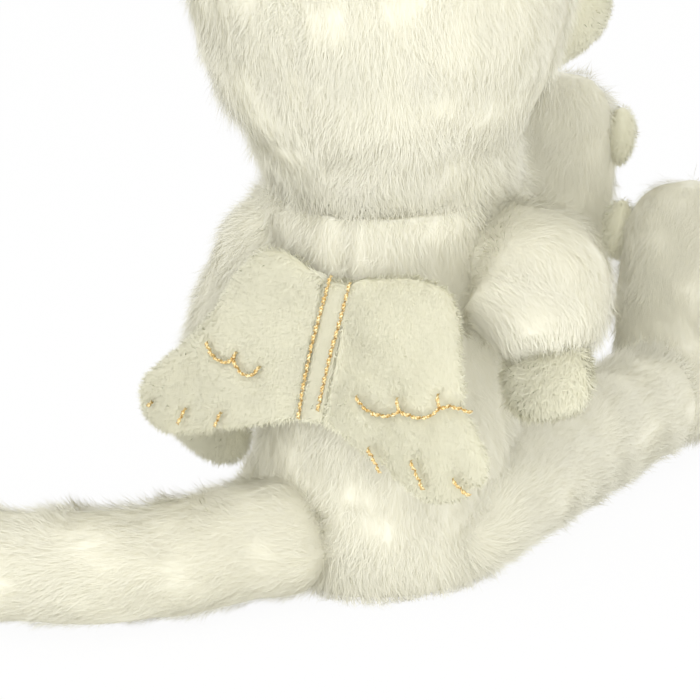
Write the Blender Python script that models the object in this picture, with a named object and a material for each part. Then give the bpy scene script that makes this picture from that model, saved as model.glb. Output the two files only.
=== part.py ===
"""Stuffed monkey with velour wings, sitting on the floor with its legs forward.

Metres, +Z up. The monkey faces -Y, its left is +X, and the origin is the middle of its seat.
"""
import math

import bmesh
import bpy
from mathutils import Vector

# Cloth and clearances
GAP = 0.0004
SKIN = 0.003
SIDES = {"left": 1, "right": -1}

# Torso
TORSO_HEIGHT = 0.107
SEAT_RADIUS = 0.029
BELLY_LEVEL = 0.028
BELLY_HALF_WIDTH = 0.036
BELLY_HALF_DEPTH = 0.0405
NECK_HALF_WIDTH = 0.033
NECK_HALF_DEPTH = 0.034
TORSO_LEAN = 0.004

# Head
HEAD_RADIUS = 0.0505
HEAD_LIFT = HEAD_RADIUS + 0.0061
HEAD_BACK = 0.004
HEAD_NECK_RADIUS = 0.0335
MUZZLE_SIZE = Vector((0.044, 0.027, 0.026))
MUZZLE_SINK = 0.0015
MUZZLE_DROP = 0.014
FACE_SIZE = Vector((0.031, 0.019, 0.025))
FACE_RISE = 0.02
FACE_PROUD = 0.0056
NOSE_SIZE = Vector((0.0085, 0.005, 0.0055))
NOSE_RISE = 0.012
EYE_RADIUS = 0.0055
EYE_DEPTH = 0.004
EYE_APART = 0.026
EYE_RISE = 0.0035
EYE_STEM_RADIUS = 0.0018
EYE_STEM_END = 0.0035
WASHER_RADIUS = 0.006
WASHER_THICKNESS = 0.0015
EAR_RADIUS = 0.017
EAR_HALF_THICKNESS = 0.005
EAR_STAND_OFF = 0.0099
EAR_ANGLE = math.radians(28.7)
EAR_LINING_RADIUS = 0.0125
EAR_LINING_HALF_THICKNESS = 0.003

# Arms: root, bend and wrist of each sleeve's middle line, below the torso's top, with its three radii
ARM_PATH = {
    "left": (Vector((0.023, 0.002, -0.0135)), Vector((0.0345, 0.0, -0.0155)),
             Vector((0.055, -0.0085, -0.071))),
    "right": (Vector((-0.027, 0.002, -0.014)), Vector((-0.044, 0.001, -0.015)),
              Vector((-0.0495, 0.011, -0.033))),
}
ARM_ROOT_RADIUS = 0.011
ARM_BULGE_RADIUS = {"left": 0.016, "right": 0.022}
ARM_CUFF_RADIUS = {"left": 0.0125, "right": 0.015}
HAND_HALF_THICKNESS = 0.006
HAND_HALF_WIDTH = 0.0115
HAND_LENGTH = 0.0123
# Rings of a hand as shares of its length, width and thickness: the rounded heel, then the fingers
HAND_HEEL = ((-0.92, 0.72, 0.38), (-0.7, 0.9, 0.71), (-0.25, 1.0, 0.96))
HAND_FINGERS = ((0.25, 1.05, 1.0), (0.65, 1.0, 0.92), (0.9, 0.78, 0.66))

# Legs: points on each middle line from the hip to the ankle
LEG_PATH = {
    "left": (Vector((0.027, 0.001, 0.0186)), Vector((0.0245, -0.020, 0.0205)),
             Vector((0.017, -0.066, 0.0285)), Vector((0.008, -0.127, 0.039))),
    "right": (Vector((-0.027, 0.001, 0.0186)), Vector((-0.0282, -0.020, 0.0186)),
              Vector((-0.032, -0.055, 0.0186)), Vector((-0.0405, -0.100, 0.0186))),
}
LEG_RADII = (0.0165, 0.0182, 0.0182, 0.017)
ANKLE_RADIUS = 0.015
ANKLE_HALF_WIDTH = 0.016
ANKLE_RECESS = 0.006
ANKLE_PROFILE = ((-1.0, 0.72), (-0.7, 0.92), (0.0, 1.0), (0.7, 0.92), (1.0, 0.72))
FOOT_LENGTH = 0.065
FOOT_HALF_WIDTH = 0.0215
FOOT_HALF_THICKNESS = 0.013
FOOT_PROFILE = ((0.0, 0.78, 0.5), (0.2, 0.9, 0.58), (0.45, 0.97, 0.95), (0.7, 1.0, 0.92),
                (0.87, 0.84, 0.76), (0.96, 0.54, 0.5))
FOOT_TILT = {"left": math.radians(3.0), "right": math.radians(18.0)}
SOLE_HALF_WIDTH = 0.0135
SOLE_HALF_LENGTH = 0.03
SOLE_HALF_THICKNESS = 0.004
TOE_SIZE = Vector((0.005, 0.005, 0.0095))
TOE_UP_FOOT = 0.046

# Tail: points on its middle line along the floor
TAIL_LEVEL = 0.0178
TAIL_PATH = ((0.014, 0.0365), (0.022, 0.045), (0.033, 0.060), (0.049, 0.0745), (0.074, 0.084),
             (0.1, 0.088), (0.126, 0.086), (0.149, 0.076), (0.165, 0.058))
TAIL_ROOT_RADIUS = 0.0172
TAIL_TIP_RADIUS = 0.0145

# Wings: half outline from the top of the root round to its bottom, as (out, up)
WING_TOP = 0.091
WING_BOTTOM = 0.055
WING_STAND_OFF = 0.0034
WING_OUTLINE = ((0.0068, 0.0934), (0.0153, 0.0943), (0.0238, 0.0921), (0.028, 0.0862), (0.0306, 0.0785),
                (0.0332, 0.070), (0.0374, 0.0615), (0.0425, 0.0547), (0.0455, 0.0479), (0.0434, 0.042),
                (0.0383, 0.039), (0.0323, 0.0382), (0.0264, 0.0403), (0.0196, 0.0437), (0.0119, 0.0484),
                (0.0051, 0.0526))
WING_HALF_THICKNESS = 0.0028
WING_EDGE_HALF_THICKNESS = 0.0006
WING_PROFILE = ((1.0, 0.0), (0.88, 0.62), (0.55, 1.0))
WING_WRAP_TOP = 7.0
WING_WRAP_BOTTOM = 2.0
WING_TILT = math.radians(8.0)
WING_RAISE = {"left": math.radians(9.0), "right": 0.0}
WING_RAISE_START = 0.4
BAND_HALF_WIDTH = 0.003
BAND_HALF_THICKNESS = 0.0015

# How finely each form is drawn
HEAD_LOWEST_RING = math.radians(-48.0)
HEAD_RING_STEP = math.radians(13.8)
HEAD_RINGS = 10
SEAT_RINGS = (0.0, 0.12, 0.4, 1.0)
TORSO_RINGS = 6
ARM_RINGS = 6
WING_ROOT_STEPS = 3
BAND_STEPS = 4
LEG_ROOT_ANGLES = (math.radians(70.0), math.radians(38.0))
TAIL_ROOT_ANGLES = (math.radians(60.0), math.radians(30.0))
TAIL_TIP_ANGLES = (math.radians(35.0), math.radians(65.0))
TORSO_SEGMENTS = 28
LIMB_SEGMENTS = 16
TAIL_SEGMENTS = 14
SMALL_SEGMENTS = 16
SMALL_RINGS = 8

# Colours as (red, green, blue), roughness
FINISHES = {
    "cream_fur": ((0.80, 0.78, 0.66), 0.95),
    "cream_velour": ((0.78, 0.76, 0.60), 0.9),
    "white_stuffing": ((0.85, 0.85, 0.83), 1.0),
    "pellet_cloth": ((0.75, 0.73, 0.68), 0.9),
    "black_plastic": ((0.01, 0.01, 0.012), 0.12),
    "white_plastic": ((0.8, 0.8, 0.8), 0.4),
    "tan_thread": ((0.35, 0.22, 0.13), 0.8),
}


def clear_scene():
    """Remove whatever the open file holds."""
    for obj in list(bpy.data.objects):
        bpy.data.objects.remove(obj, do_unlink=True)


def make_finish(name):
    """Return the material of this name, making it once."""
    if name in bpy.data.materials:
        return bpy.data.materials[name]
    colour, roughness = FINISHES[name]
    material = bpy.data.materials.new(name)
    material.use_nodes = True
    shader = material.node_tree.nodes["Principled BSDF"]
    shader.inputs["Base Color"].default_value = (*colour, 1.0)
    shader.inputs["Roughness"].default_value = roughness
    shader.inputs["Metallic"].default_value = 0.0
    return material


def add_object(name, bm, finish=None, hollow=()):
    """Turn a finished bmesh into an object with its faces pointing out, and a hollow's pointing in."""
    bmesh.ops.recalc_face_normals(bm, faces=bm.faces)
    bmesh.ops.reverse_faces(bm, faces=hollow)
    mesh = bpy.data.meshes.new(name)
    bm.to_mesh(mesh)
    bm.free()
    mesh.shade_smooth()
    obj = bpy.data.objects.new(name, mesh)
    bpy.context.scene.collection.objects.link(obj)
    if finish is None:
        obj.hide_render = True
        obj.display_type = "WIRE"
    else:
        mesh.materials.append(make_finish(finish))
    return obj


def cut(obj, cutter, operation="DIFFERENCE"):
    """Add a Boolean of this object with a hidden cutter."""
    modifier = obj.modifiers.new(cutter.name, "BOOLEAN")
    modifier.operation = operation
    modifier.solver = "EXACT"
    modifier.object = cutter
    return obj


def smooth_step(t):
    """Ease from 0 to 1 with level ends."""
    return t * t * (3.0 - 2.0 * t)


def make_ring(station, segments):
    """Return an ellipse of points at a station: centre, tangent, reference, half width, half depth."""
    centre, tangent, reference, half_width, half_depth = station
    across = reference.cross(tangent).normalized()
    along = tangent.cross(across).normalized()
    points = []
    for i in range(segments):
        angle = 2.0 * math.pi * i / segments
        out = across * half_width * math.cos(angle) + along * half_depth * math.sin(angle)
        points.append(centre + out)
    return points


def add_rings(bm, stations, segments):
    """Add a tube of rings and return its rows of vertices."""
    rows = [[bm.verts.new(p) for p in make_ring(s, segments)] for s in stations]
    for low, high in zip(rows, rows[1:]):
        bridge_rows(bm, low, high)
    return rows


def bridge_rows(bm, low, high):
    """Join two rings of as many vertices with quads."""
    for i in range(len(low)):
        j = (i + 1) % len(low)
        bm.faces.new((low[i], low[j], high[j], high[i]))


def close_row(bm, row, point):
    """Close a ring with a fan to a point."""
    pole = bm.verts.new(point)
    for i in range(len(row)):
        bm.faces.new((row[i], row[(i + 1) % len(row)], pole))


def add_solid(name, stations, poles, segments, finish=None):
    """A closed body through the stations, with a point at each end."""
    bm = bmesh.new()
    rows = add_rings(bm, stations, segments)
    close_row(bm, rows[0], poles[0])
    close_row(bm, rows[-1], poles[1])
    return add_object(name, bm, finish)


def add_skin(name, outer, inner, segments, finish):
    """A sewn skin, open at its first ring. outer and inner are (stations, end point)."""
    bm = bmesh.new()
    outside = add_rings(bm, outer[0], segments)
    inside = add_rings(bm, inner[0], segments)
    close_row(bm, outside[-1], outer[1])
    close_row(bm, inside[-1], inner[1])
    bridge_rows(bm, outside[0], inside[0])
    return add_object(name, bm, finish)


def add_hollow(name, outer, inner, segments, finish):
    """A closed skin round a hollow, which a cutter opens. outer and inner are (stations, end points)."""
    bm = bmesh.new()
    for stations, ends in (outer, inner):
        before = len(bm.faces)
        rows = add_rings(bm, stations, segments)
        close_row(bm, rows[0], ends[0])
        close_row(bm, rows[-1], ends[1])
    bm.faces.ensure_lookup_table()
    return add_object(name, bm, finish, bm.faces[before:])


def add_ellipsoid(name, centre, half_sizes, finish=None, axis=Vector((0, 0, 1)),
                  reference=Vector((0, 1, 0))):
    """A closed ellipsoid whose last half size lies along axis."""
    stations = []
    for i in range(1, SMALL_RINGS):
        angle = math.pi * i / SMALL_RINGS - math.pi / 2.0
        stations.append((centre + axis * half_sizes[2] * math.sin(angle), axis, reference,
                         half_sizes[0] * math.cos(angle), half_sizes[1] * math.cos(angle)))
    poles = (centre - axis * half_sizes[2], centre + axis * half_sizes[2])
    return add_solid(name, stations, poles, SMALL_SEGMENTS, finish)


def add_drum(name, start, end, radius, finish=None, bore=None):
    """A round drum between two points, with an optional bore through it."""
    axis = (end - start).normalized()
    reference = Vector((0, 0, 1))
    stations = [(p, axis, reference, radius, radius) for p in (start, end)]
    if bore is None:
        return add_solid(name, stations, (start, end), SMALL_SEGMENTS, finish)
    bm = bmesh.new()
    outside = add_rings(bm, stations, SMALL_SEGMENTS)
    inside = add_rings(bm, [(p, axis, reference, bore, bore) for p in (start, end)], SMALL_SEGMENTS)
    for outer_row, inner_row in zip(outside, inside):
        bridge_rows(bm, outer_row, inner_row)
    return add_object(name, bm, finish)


def inflate(half_sizes, extra):
    """Half sizes grown by the same amount each way."""
    return Vector((h + extra for h in half_sizes))


def add_pivot(name, point):
    """An empty on a joint's axis, to carry what moves there."""
    empty = bpy.data.objects.new(name, None)
    empty.location = point
    bpy.context.scene.collection.objects.link(empty)
    return empty


def carry(pivot, *pieces):
    """Hang finished pieces on a pivot without moving them."""
    bpy.context.view_layer.update()
    for piece in pieces:
        piece.parent = pivot
        piece.matrix_parent_inverse = pivot.matrix_world.inverted()


# Torso

def torso_half_sizes(z, inset):
    """Half width and half depth of the torso at a height."""
    if z < BELLY_LEVEL:
        share = math.sqrt(max(0.0, 1.0 - (1.0 - z / BELLY_LEVEL) ** 2))
        wide = SEAT_RADIUS + (BELLY_HALF_WIDTH - SEAT_RADIUS) * share
        deep = SEAT_RADIUS + (BELLY_HALF_DEPTH - SEAT_RADIUS) * share
    else:
        share = smooth_step(min(1.0, (z - BELLY_LEVEL) / (TORSO_HEIGHT - BELLY_LEVEL)))
        wide = BELLY_HALF_WIDTH + (NECK_HALF_WIDTH - BELLY_HALF_WIDTH) * share
        deep = BELLY_HALF_DEPTH + (NECK_HALF_DEPTH - BELLY_HALF_DEPTH) * share
    return wide - inset, deep - inset


def torso_centre(z):
    """The torso leans forward towards the neck."""
    return Vector((0.0, -TORSO_LEAN * smooth_step(min(1.0, max(0.0, z / TORSO_HEIGHT))), z))


def torso_back(z):
    """Y of the torso's back on its middle plane."""
    return torso_centre(z).y + torso_half_sizes(z, 0.0)[1]


def torso_stations(levels, inset):
    """Rings of the torso, read at the given heights and drawn in by the inset."""
    stations = []
    for z in levels:
        wide, deep = torso_half_sizes(z, inset)
        stations.append((torso_centre(z), Vector((0, 0, 1)), Vector((0, 1, 0)), wide, deep))
    return stations


def torso_levels(low, high):
    """Heights of the torso's rings between two levels, closer together under the belly."""
    seat = [BELLY_LEVEL * share for share in SEAT_RINGS]
    step = (TORSO_HEIGHT - BELLY_LEVEL) / TORSO_RINGS
    upper = [BELLY_LEVEL + step * i for i in range(1, TORSO_RINGS + 1)]
    room = 0.1 * SKIN
    return [low] + [z for z in seat + upper if low + room < z < high - room] + [high]


def make_torso(tail_ball):
    """The torso's skin, open at the neck, with its stuffing over a bag of pellets."""
    inner_low = SKIN
    outer = torso_stations(torso_levels(0.0, TORSO_HEIGHT), 0.0)
    inner = torso_stations(torso_levels(inner_low, TORSO_HEIGHT), SKIN)
    skin = add_skin("torso_skin", (outer[::-1], Vector((0, 0, 0))),
                    (inner[::-1], torso_centre(inner_low)), TORSO_SEGMENTS, "cream_fur")
    bag_low = inner_low + GAP
    bag_high = BELLY_LEVEL
    inset = SKIN + GAP
    bag = add_solid("pellet_bag", torso_stations(torso_levels(bag_low, bag_high), inset),
                    (torso_centre(bag_low), torso_centre(bag_high)), TORSO_SEGMENTS, "pellet_cloth")
    filling_low = bag_high + GAP
    filling = add_solid("torso_filling", torso_stations(torso_levels(filling_low, TORSO_HEIGHT), inset),
                        (torso_centre(filling_low), torso_centre(TORSO_HEIGHT)), TORSO_SEGMENTS,
                        "white_stuffing")
    for piece in (skin, bag, filling):
        cut(piece, tail_ball)


def make_torso_cutter():
    """The torso's outside with its clearance, which trims what is sewn on to it."""
    levels = torso_levels(0.0, TORSO_HEIGHT)
    return add_solid("cut_torso", torso_stations(levels, -GAP),
                     (Vector((0, 0, -GAP)), torso_centre(TORSO_HEIGHT)), TORSO_SEGMENTS)


# Head

def head_base():
    """Middle of the head's flat base at the neck."""
    return torso_centre(TORSO_HEIGHT) + Vector((0, 0, GAP))


def head_centre():
    """Middle of the head's ball."""
    return Vector((0, HEAD_BACK, head_base().z + HEAD_LIFT))


def head_stations(inset):
    """Rings of the head from the neck to the crown, drawn in by the inset."""
    up = Vector((0, 0, 1))
    back = Vector((0, 1, 0))
    base = head_base()
    centre = head_centre()
    radius = HEAD_RADIUS - inset
    neck = HEAD_NECK_RADIUS - inset
    latitudes = [HEAD_LOWEST_RING + HEAD_RING_STEP * i for i in range(HEAD_RINGS)]
    first_ball = centre + up * radius * math.sin(latitudes[0])
    collar = base.lerp(first_ball, 0.5)
    collar_radius = 0.5 * (neck + radius * math.cos(latitudes[0])) + 0.5 * SKIN
    stations = [(base, up, back, neck, neck), (collar, up, back, collar_radius, collar_radius)]
    for latitude in latitudes:
        wide = radius * math.cos(latitude)
        stations.append((centre + up * radius * math.sin(latitude), up, back, wide, wide))
    return stations, centre + up * radius


def make_head():
    """The head's skin and stuffing with its face, ears and eyes, all on the neck's pivot."""
    base = head_base()
    centre = head_centre()
    skin = add_skin("head_skin", head_stations(0.0), head_stations(SKIN), TORSO_SEGMENTS, "cream_fur")
    stations, crown = head_stations(SKIN + GAP)
    filling = add_solid("head_filling", stations, (base, crown), TORSO_SEGMENTS, "white_stuffing")
    stations, crown = head_stations(-GAP)
    head_cutter = add_solid("cut_head", stations, (base, crown), TORSO_SEGMENTS)

    muzzle_centre = centre + Vector((0, MUZZLE_SINK - HEAD_RADIUS, -MUZZLE_DROP))
    muzzle = cut(add_ellipsoid("muzzle", muzzle_centre, MUZZLE_SIZE, "cream_velour"), head_cutter)
    muzzle_cutter = add_ellipsoid("cut_muzzle", muzzle_centre, inflate(MUZZLE_SIZE, GAP))
    face_front = math.sqrt(HEAD_RADIUS ** 2 - FACE_RISE ** 2) + FACE_PROUD
    face_centre = centre + Vector((0, FACE_SIZE.y - face_front, FACE_RISE))
    face = cut(add_ellipsoid("face_patch", face_centre, FACE_SIZE, "cream_velour"), head_cutter)
    cut(face, muzzle_cutter)
    face_cutter = add_ellipsoid("cut_face", face_centre, inflate(FACE_SIZE, GAP))

    nose_slope = math.sqrt(1.0 - (NOSE_RISE / MUZZLE_SIZE.z) ** 2)
    nose_centre = muzzle_centre + Vector((0, -MUZZLE_SIZE.y * nose_slope, NOSE_RISE))
    nose = cut(add_ellipsoid("nose", nose_centre, NOSE_SIZE, "tan_thread"), muzzle_cutter)

    pieces = [skin, filling, muzzle, face, nose]
    for side, sign in SIDES.items():
        pieces += make_ear(side, sign, centre, head_cutter)
        pieces += make_eye(side, sign, centre, face_centre, (skin, filling, face),
                           (face_cutter, head_cutter))
    carry(add_pivot("neck_pivot", base), *pieces)


def make_ear(side, sign, centre, head_cutter):
    """One round ear with its velour lining on the front."""
    reach = HEAD_RADIUS + EAR_STAND_OFF
    middle = centre + Vector((sign * reach * math.cos(EAR_ANGLE), 0, reach * math.sin(EAR_ANGLE)))
    ear_size = Vector((EAR_RADIUS, EAR_HALF_THICKNESS, EAR_RADIUS))
    ear = cut(add_ellipsoid("ear_" + side, middle, ear_size, "cream_fur"), head_cutter)
    ear_cutter = add_ellipsoid("cut_ear_" + side, middle, inflate(ear_size, GAP))
    lining_size = Vector((EAR_LINING_RADIUS, EAR_LINING_HALF_THICKNESS, EAR_LINING_RADIUS))
    lining_centre = middle + Vector((0, -EAR_HALF_THICKNESS, 0))
    lining = add_ellipsoid("ear_lining_" + side, lining_centre, lining_size, "cream_velour")
    cut(lining, ear_cutter)
    cut(lining, head_cutter)
    return [ear, lining]


def make_eye(side, sign, centre, face_centre, holed, seats):
    """One domed eye on a stem, held inside the skin by a washer."""
    out = sign * EYE_APART / 2.0
    depth = math.sqrt(1.0 - (out / FACE_SIZE.x) ** 2 - (EYE_RISE / FACE_SIZE.z) ** 2)
    seat = face_centre + Vector((out, -FACE_SIZE.y * depth, EYE_RISE))
    axis = (seat - centre).normalized()
    reference = Vector((0, 0, 1))
    eye_size = Vector((EYE_RADIUS, EYE_RADIUS, EYE_DEPTH))
    eye = add_ellipsoid("eye_" + side, seat, eye_size, "black_plastic", axis, reference)
    for seat_cutter in seats:
        cut(eye, seat_cutter)
    facet = math.cos(HEAD_RING_STEP / 2.0) * math.cos(math.pi / TORSO_SEGMENTS)
    inside = (HEAD_RADIUS - SKIN) * facet
    washer_sag = inside - math.sqrt(inside ** 2 - WASHER_RADIUS ** 2)
    washer_front = inside - washer_sag - GAP
    washer_back = washer_front - WASHER_THICKNESS
    stem_end = centre + axis * (washer_back - EYE_STEM_END)
    stem = add_drum("cut_eye_stem_" + side, stem_end, seat + axis * EYE_DEPTH / 2.0, EYE_STEM_RADIUS)
    cut(eye, stem, "UNION")
    washer = add_drum("eye_washer_" + side, centre + axis * washer_back, centre + axis * washer_front,
                      WASHER_RADIUS, "white_plastic", EYE_STEM_RADIUS + GAP)
    hole = add_drum("cut_eye_hole_" + side, stem_end - axis * SKIN, seat + axis * EYE_RADIUS,
                    EYE_STEM_RADIUS + GAP)
    pocket = add_drum("cut_eye_pocket_" + side, stem_end - axis * GAP, centre + axis * HEAD_RADIUS,
                      WASHER_RADIUS + GAP)
    skin, filling, face = holed
    cut(skin, hole)
    cut(face, hole)
    cut(filling, pocket)
    return [eye, washer]


# Limbs

def tube_stations(points, radii, inset, reference):
    """Rings along a middle line. The last one is drawn back by the inset, to leave a wall there."""
    stations = []
    for i, point in enumerate(points):
        before = points[max(i - 1, 0)]
        after = points[min(i + 1, len(points) - 1)]
        tangent = (after - before).normalized()
        if i == len(points) - 1:
            point = point - tangent * inset
        stations.append((point, tangent, reference, radii[i] - inset, radii[i] - inset))
    return stations, stations[-1][0]


def arm_line(side):
    """Points and radii of a sleeve, from its root inside the shoulder to its cuff."""
    shoulder = Vector((0, 0, TORSO_HEIGHT))
    root, bend, wrist = (shoulder + p for p in ARM_PATH[side])
    points = []
    radii = []
    for i in range(ARM_RINGS + 1):
        t = i / ARM_RINGS
        points.append(root * (1 - t) ** 2 + bend * 2 * t * (1 - t) + wrist * t ** 2)
        radii.append(ARM_ROOT_RADIUS * 2 * (t - 0.5) * (t - 1) - ARM_BULGE_RADIUS[side] * 4 * t * (t - 1)
                     + ARM_CUFF_RADIUS[side] * 2 * t * (t - 0.5))
    return points, radii


def make_arm(side, sign, torso_cutter):
    """One arm: a sleeve with its stuffing, and a velour hand that bends at the wrist seam."""
    points, radii = arm_line(side)
    back = Vector((0, 1, 0))
    skin = add_skin("arm_skin_" + side, tube_stations(points, radii, 0.0, back),
                    tube_stations(points, radii, SKIN, back), LIMB_SEGMENTS, "cream_fur")
    stations, end = tube_stations(points, radii, SKIN + GAP, back)
    filling = add_solid("arm_filling_" + side, stations, (points[0], end), LIMB_SEGMENTS,
                        "white_stuffing")
    cut(skin, torso_cutter)
    cut(filling, torso_cutter)
    shoulder = Vector((sign * NECK_HALF_WIDTH, points[0].y, TORSO_HEIGHT))
    pivot = add_pivot("shoulder_pivot_" + side, shoulder)
    carry(pivot, skin, filling)

    down = (points[-1] - points[-2]).normalized()
    wrist = points[-1] + down * (HAND_HALF_THICKNESS + GAP)
    stations = [(wrist + down * HAND_HALF_THICKNESS * share, down, back,
                 HAND_HALF_WIDTH * wide, HAND_HALF_THICKNESS * deep) for share, wide, deep in HAND_HEEL]
    stations += [(wrist + down * HAND_LENGTH * share, down, back,
                  HAND_HALF_WIDTH * wide, HAND_HALF_THICKNESS * deep) for share, wide, deep in HAND_FINGERS]
    hand = add_solid("hand_" + side, stations,
                     (wrist - down * HAND_HALF_THICKNESS, wrist + down * HAND_LENGTH),
                     LIMB_SEGMENTS, "cream_velour")
    wrist_pivot = add_pivot("wrist_pivot_" + side, wrist)
    carry(pivot, wrist_pivot)
    carry(wrist_pivot, hand)


def leg_stations(points, inset):
    """Rings of a leg from its round root at the hip to its ankle."""
    up = Vector((0, 0, 1))
    body, end = tube_stations(points, LEG_RADII, inset, up)
    root, tangent = body[0][:2]
    radius = body[0][3]
    start = []
    for angle in LEG_ROOT_ANGLES:
        wide = radius * math.cos(angle)
        start.append((root - tangent * radius * math.sin(angle), tangent, up, wide, wide))
    return start + body, (root - tangent * radius, end)


def make_leg(side, sign, torso_cutter):
    """One leg with its stuffing, and the upturned foot that bends at the ankle."""
    points = LEG_PATH[side]
    across = Vector((1, 0, 0))
    forward = (points[-1] - points[-2]).normalized()
    ankle = points[-1] + forward * (ANKLE_RADIUS + GAP - ANKLE_RECESS)
    inner_points = points[:-1] + (ankle - forward * (ANKLE_RADIUS + GAP),)
    skin = add_hollow("leg_skin_" + side, leg_stations(points, 0.0), leg_stations(inner_points, SKIN),
                      LIMB_SEGMENTS, "cream_fur")
    stations, ends = leg_stations(inner_points, SKIN + GAP)
    filling = add_solid("leg_filling_" + side, stations, ends, LIMB_SEGMENTS, "white_stuffing")
    ankle_cutter = add_ankle("cut_ankle_" + side, ankle, GAP)
    cut(skin, torso_cutter)
    cut(filling, torso_cutter)
    cut(skin, ankle_cutter)
    hip = points[0] + Vector((0, LEG_RADII[0], 0))
    pivot = add_pivot("hip_pivot_" + side, hip)
    carry(pivot, skin, filling)

    tilt = FOOT_TILT[side]
    axis = Vector((0, -math.sin(tilt), math.cos(tilt)))
    front = Vector((0, -math.cos(tilt), -math.sin(tilt)))
    foot = cut(add_paddle("foot_" + side, ankle, axis, 0.0, "cream_fur"),
               add_ankle("cut_heel_" + side, ankle, 0.0), "UNION")
    paddle_cutter = add_paddle("cut_foot_" + side, ankle, axis, GAP)
    heel_cutter = add_ankle("cut_heel_room_" + side, ankle, GAP)
    sole_centre = ankle + axis * SOLE_HALF_LENGTH + front * FOOT_HALF_THICKNESS
    sole_size = Vector((SOLE_HALF_WIDTH, SOLE_HALF_THICKNESS, SOLE_HALF_LENGTH))
    sole = add_ellipsoid("sole_" + side, sole_centre, sole_size, "cream_velour", axis, -front)
    toe_centre = ankle + axis * TOE_UP_FOOT - across * sign * FOOT_HALF_WIDTH
    toe = add_ellipsoid("big_toe_" + side, toe_centre, TOE_SIZE, "cream_velour", axis, -front)
    for piece in (sole, toe):
        cut(piece, paddle_cutter)
        cut(piece, heel_cutter)
    ankle_pivot = add_pivot("ankle_pivot_" + side, ankle)
    carry(pivot, ankle_pivot)
    carry(ankle_pivot, foot, sole, toe)


def add_ankle(name, ankle, extra):
    """The barrel of the heel, round about the ankle's axis, grown by a clearance."""
    across = Vector((1, 0, 0))
    up = Vector((0, 0, 1))
    stations = []
    for share, swell in ANKLE_PROFILE:
        radius = ANKLE_RADIUS * swell + extra
        centre = ankle + across * (ANKLE_HALF_WIDTH + extra) * share
        stations.append((centre, across, up, radius, radius))
    return add_solid(name, stations, (stations[0][0], stations[-1][0]), LIMB_SEGMENTS)


def add_paddle(name, ankle, axis, extra, finish=None):
    """The upright part of a foot, grown by a clearance."""
    stations = []
    for share, wide, deep in FOOT_PROFILE:
        stations.append((ankle + axis * FOOT_LENGTH * share, axis, Vector((0, 1, 0)),
                         FOOT_HALF_WIDTH * wide + extra, FOOT_HALF_THICKNESS * deep + extra))
    toe_end = ankle + axis * (FOOT_LENGTH + extra)
    return add_solid(name, stations, (ankle, toe_end), LIMB_SEGMENTS, finish)


# Tail

def tail_line():
    """Points and radii along the tail."""
    points = [Vector((x, y, TAIL_LEVEL)) for x, y in TAIL_PATH]
    last = len(points) - 1
    radii = [TAIL_ROOT_RADIUS + (TAIL_TIP_RADIUS - TAIL_ROOT_RADIUS) * i / last for i in range(last + 1)]
    return points, radii


def tail_stations(inset):
    """Rings of the tail, round at its root about the joint and round at its tip."""
    points, radii = tail_line()
    up = Vector((0, 0, 1))
    body = tube_stations(points, radii, 0.0, up)[0]
    body = [(c, t, r, wide - inset, deep - inset) for c, t, r, wide, deep in body]
    root, tangent = body[0][:2]
    radius = body[0][3]
    start = []
    for angle in TAIL_ROOT_ANGLES:
        wide = radius * math.cos(angle)
        start.append((root - tangent * radius * math.sin(angle), tangent, up, wide, wide))
    tip, tangent = body[-1][:2]
    radius = body[-1][3]
    end = []
    for angle in TAIL_TIP_ANGLES:
        wide = radius * math.cos(angle)
        end.append((tip + tangent * radius * math.sin(angle), tangent, up, wide, wide))
    return start + body + end, tip + tangent * radius


def make_tail():
    """The tail's skin and stuffing. It swings at its root, and lies on the floor."""
    skin = add_skin("tail_skin", tail_stations(0.0), tail_stations(SKIN), TAIL_SEGMENTS, "cream_fur")
    stations, tip = tail_stations(SKIN + GAP)
    filling = add_solid("tail_filling", stations, (stations[0][0], tip), TAIL_SEGMENTS, "white_stuffing")
    carry(add_pivot("tail_pivot", tail_line()[0][0]), skin, filling)


def make_tail_ball():
    """The round room in the torso for the tail's root."""
    radius = TAIL_ROOT_RADIUS + 2 * GAP
    return add_ellipsoid("cut_tail_root", tail_line()[0][0], Vector((radius, radius, radius)))


# Wings

def wing_root(z):
    """Y of the wings' straight root line at a height."""
    share = (z - WING_BOTTOM) / (WING_TOP - WING_BOTTOM)
    low = torso_back(WING_BOTTOM)
    return low + (torso_back(WING_TOP) - low) * share + WING_STAND_OFF


def wing_tilt(z):
    """X of the wings' middle line, which leans to one side."""
    return -math.tan(WING_TILT) * (z - 0.5 * (WING_TOP + WING_BOTTOM))


def wing_point(sign, out, z, lift):
    """A point on a wing that wraps round the back, lifted off its middle sheet."""
    share = (z - WING_BOTTOM) / (WING_TOP - WING_BOTTOM)
    wrap = WING_WRAP_BOTTOM + (WING_WRAP_TOP - WING_WRAP_BOTTOM) * min(1.0, max(0.0, share))
    y = wing_root(z) - wrap * out ** 2
    return Vector((wing_tilt(z) + sign * (BAND_HALF_WIDTH + GAP + out), y + lift, z))


def wing_outline(side):
    """The wing's outline as (out, up), raised about the middle of its root."""
    middle = 0.5 * (WING_TOP + WING_BOTTOM)
    turn = WING_RAISE[side]
    step = (WING_TOP - WING_BOTTOM) / WING_ROOT_STEPS
    root = [(0.0, WING_BOTTOM + step * i) for i in range(WING_ROOT_STEPS + 1)]
    reach = max(out for out, up in WING_OUTLINE)
    edge = []
    for out, up in WING_OUTLINE:
        share = smooth_step(min(1.0, out / (WING_RAISE_START * reach)))
        angle = turn * share
        rise = up - middle
        edge.append((out * math.cos(angle) - rise * math.sin(angle),
                     middle + out * math.sin(angle) + rise * math.cos(angle)))
    return root + [(max(out, BAND_HALF_THICKNESS), up) for out, up in edge]


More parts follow.
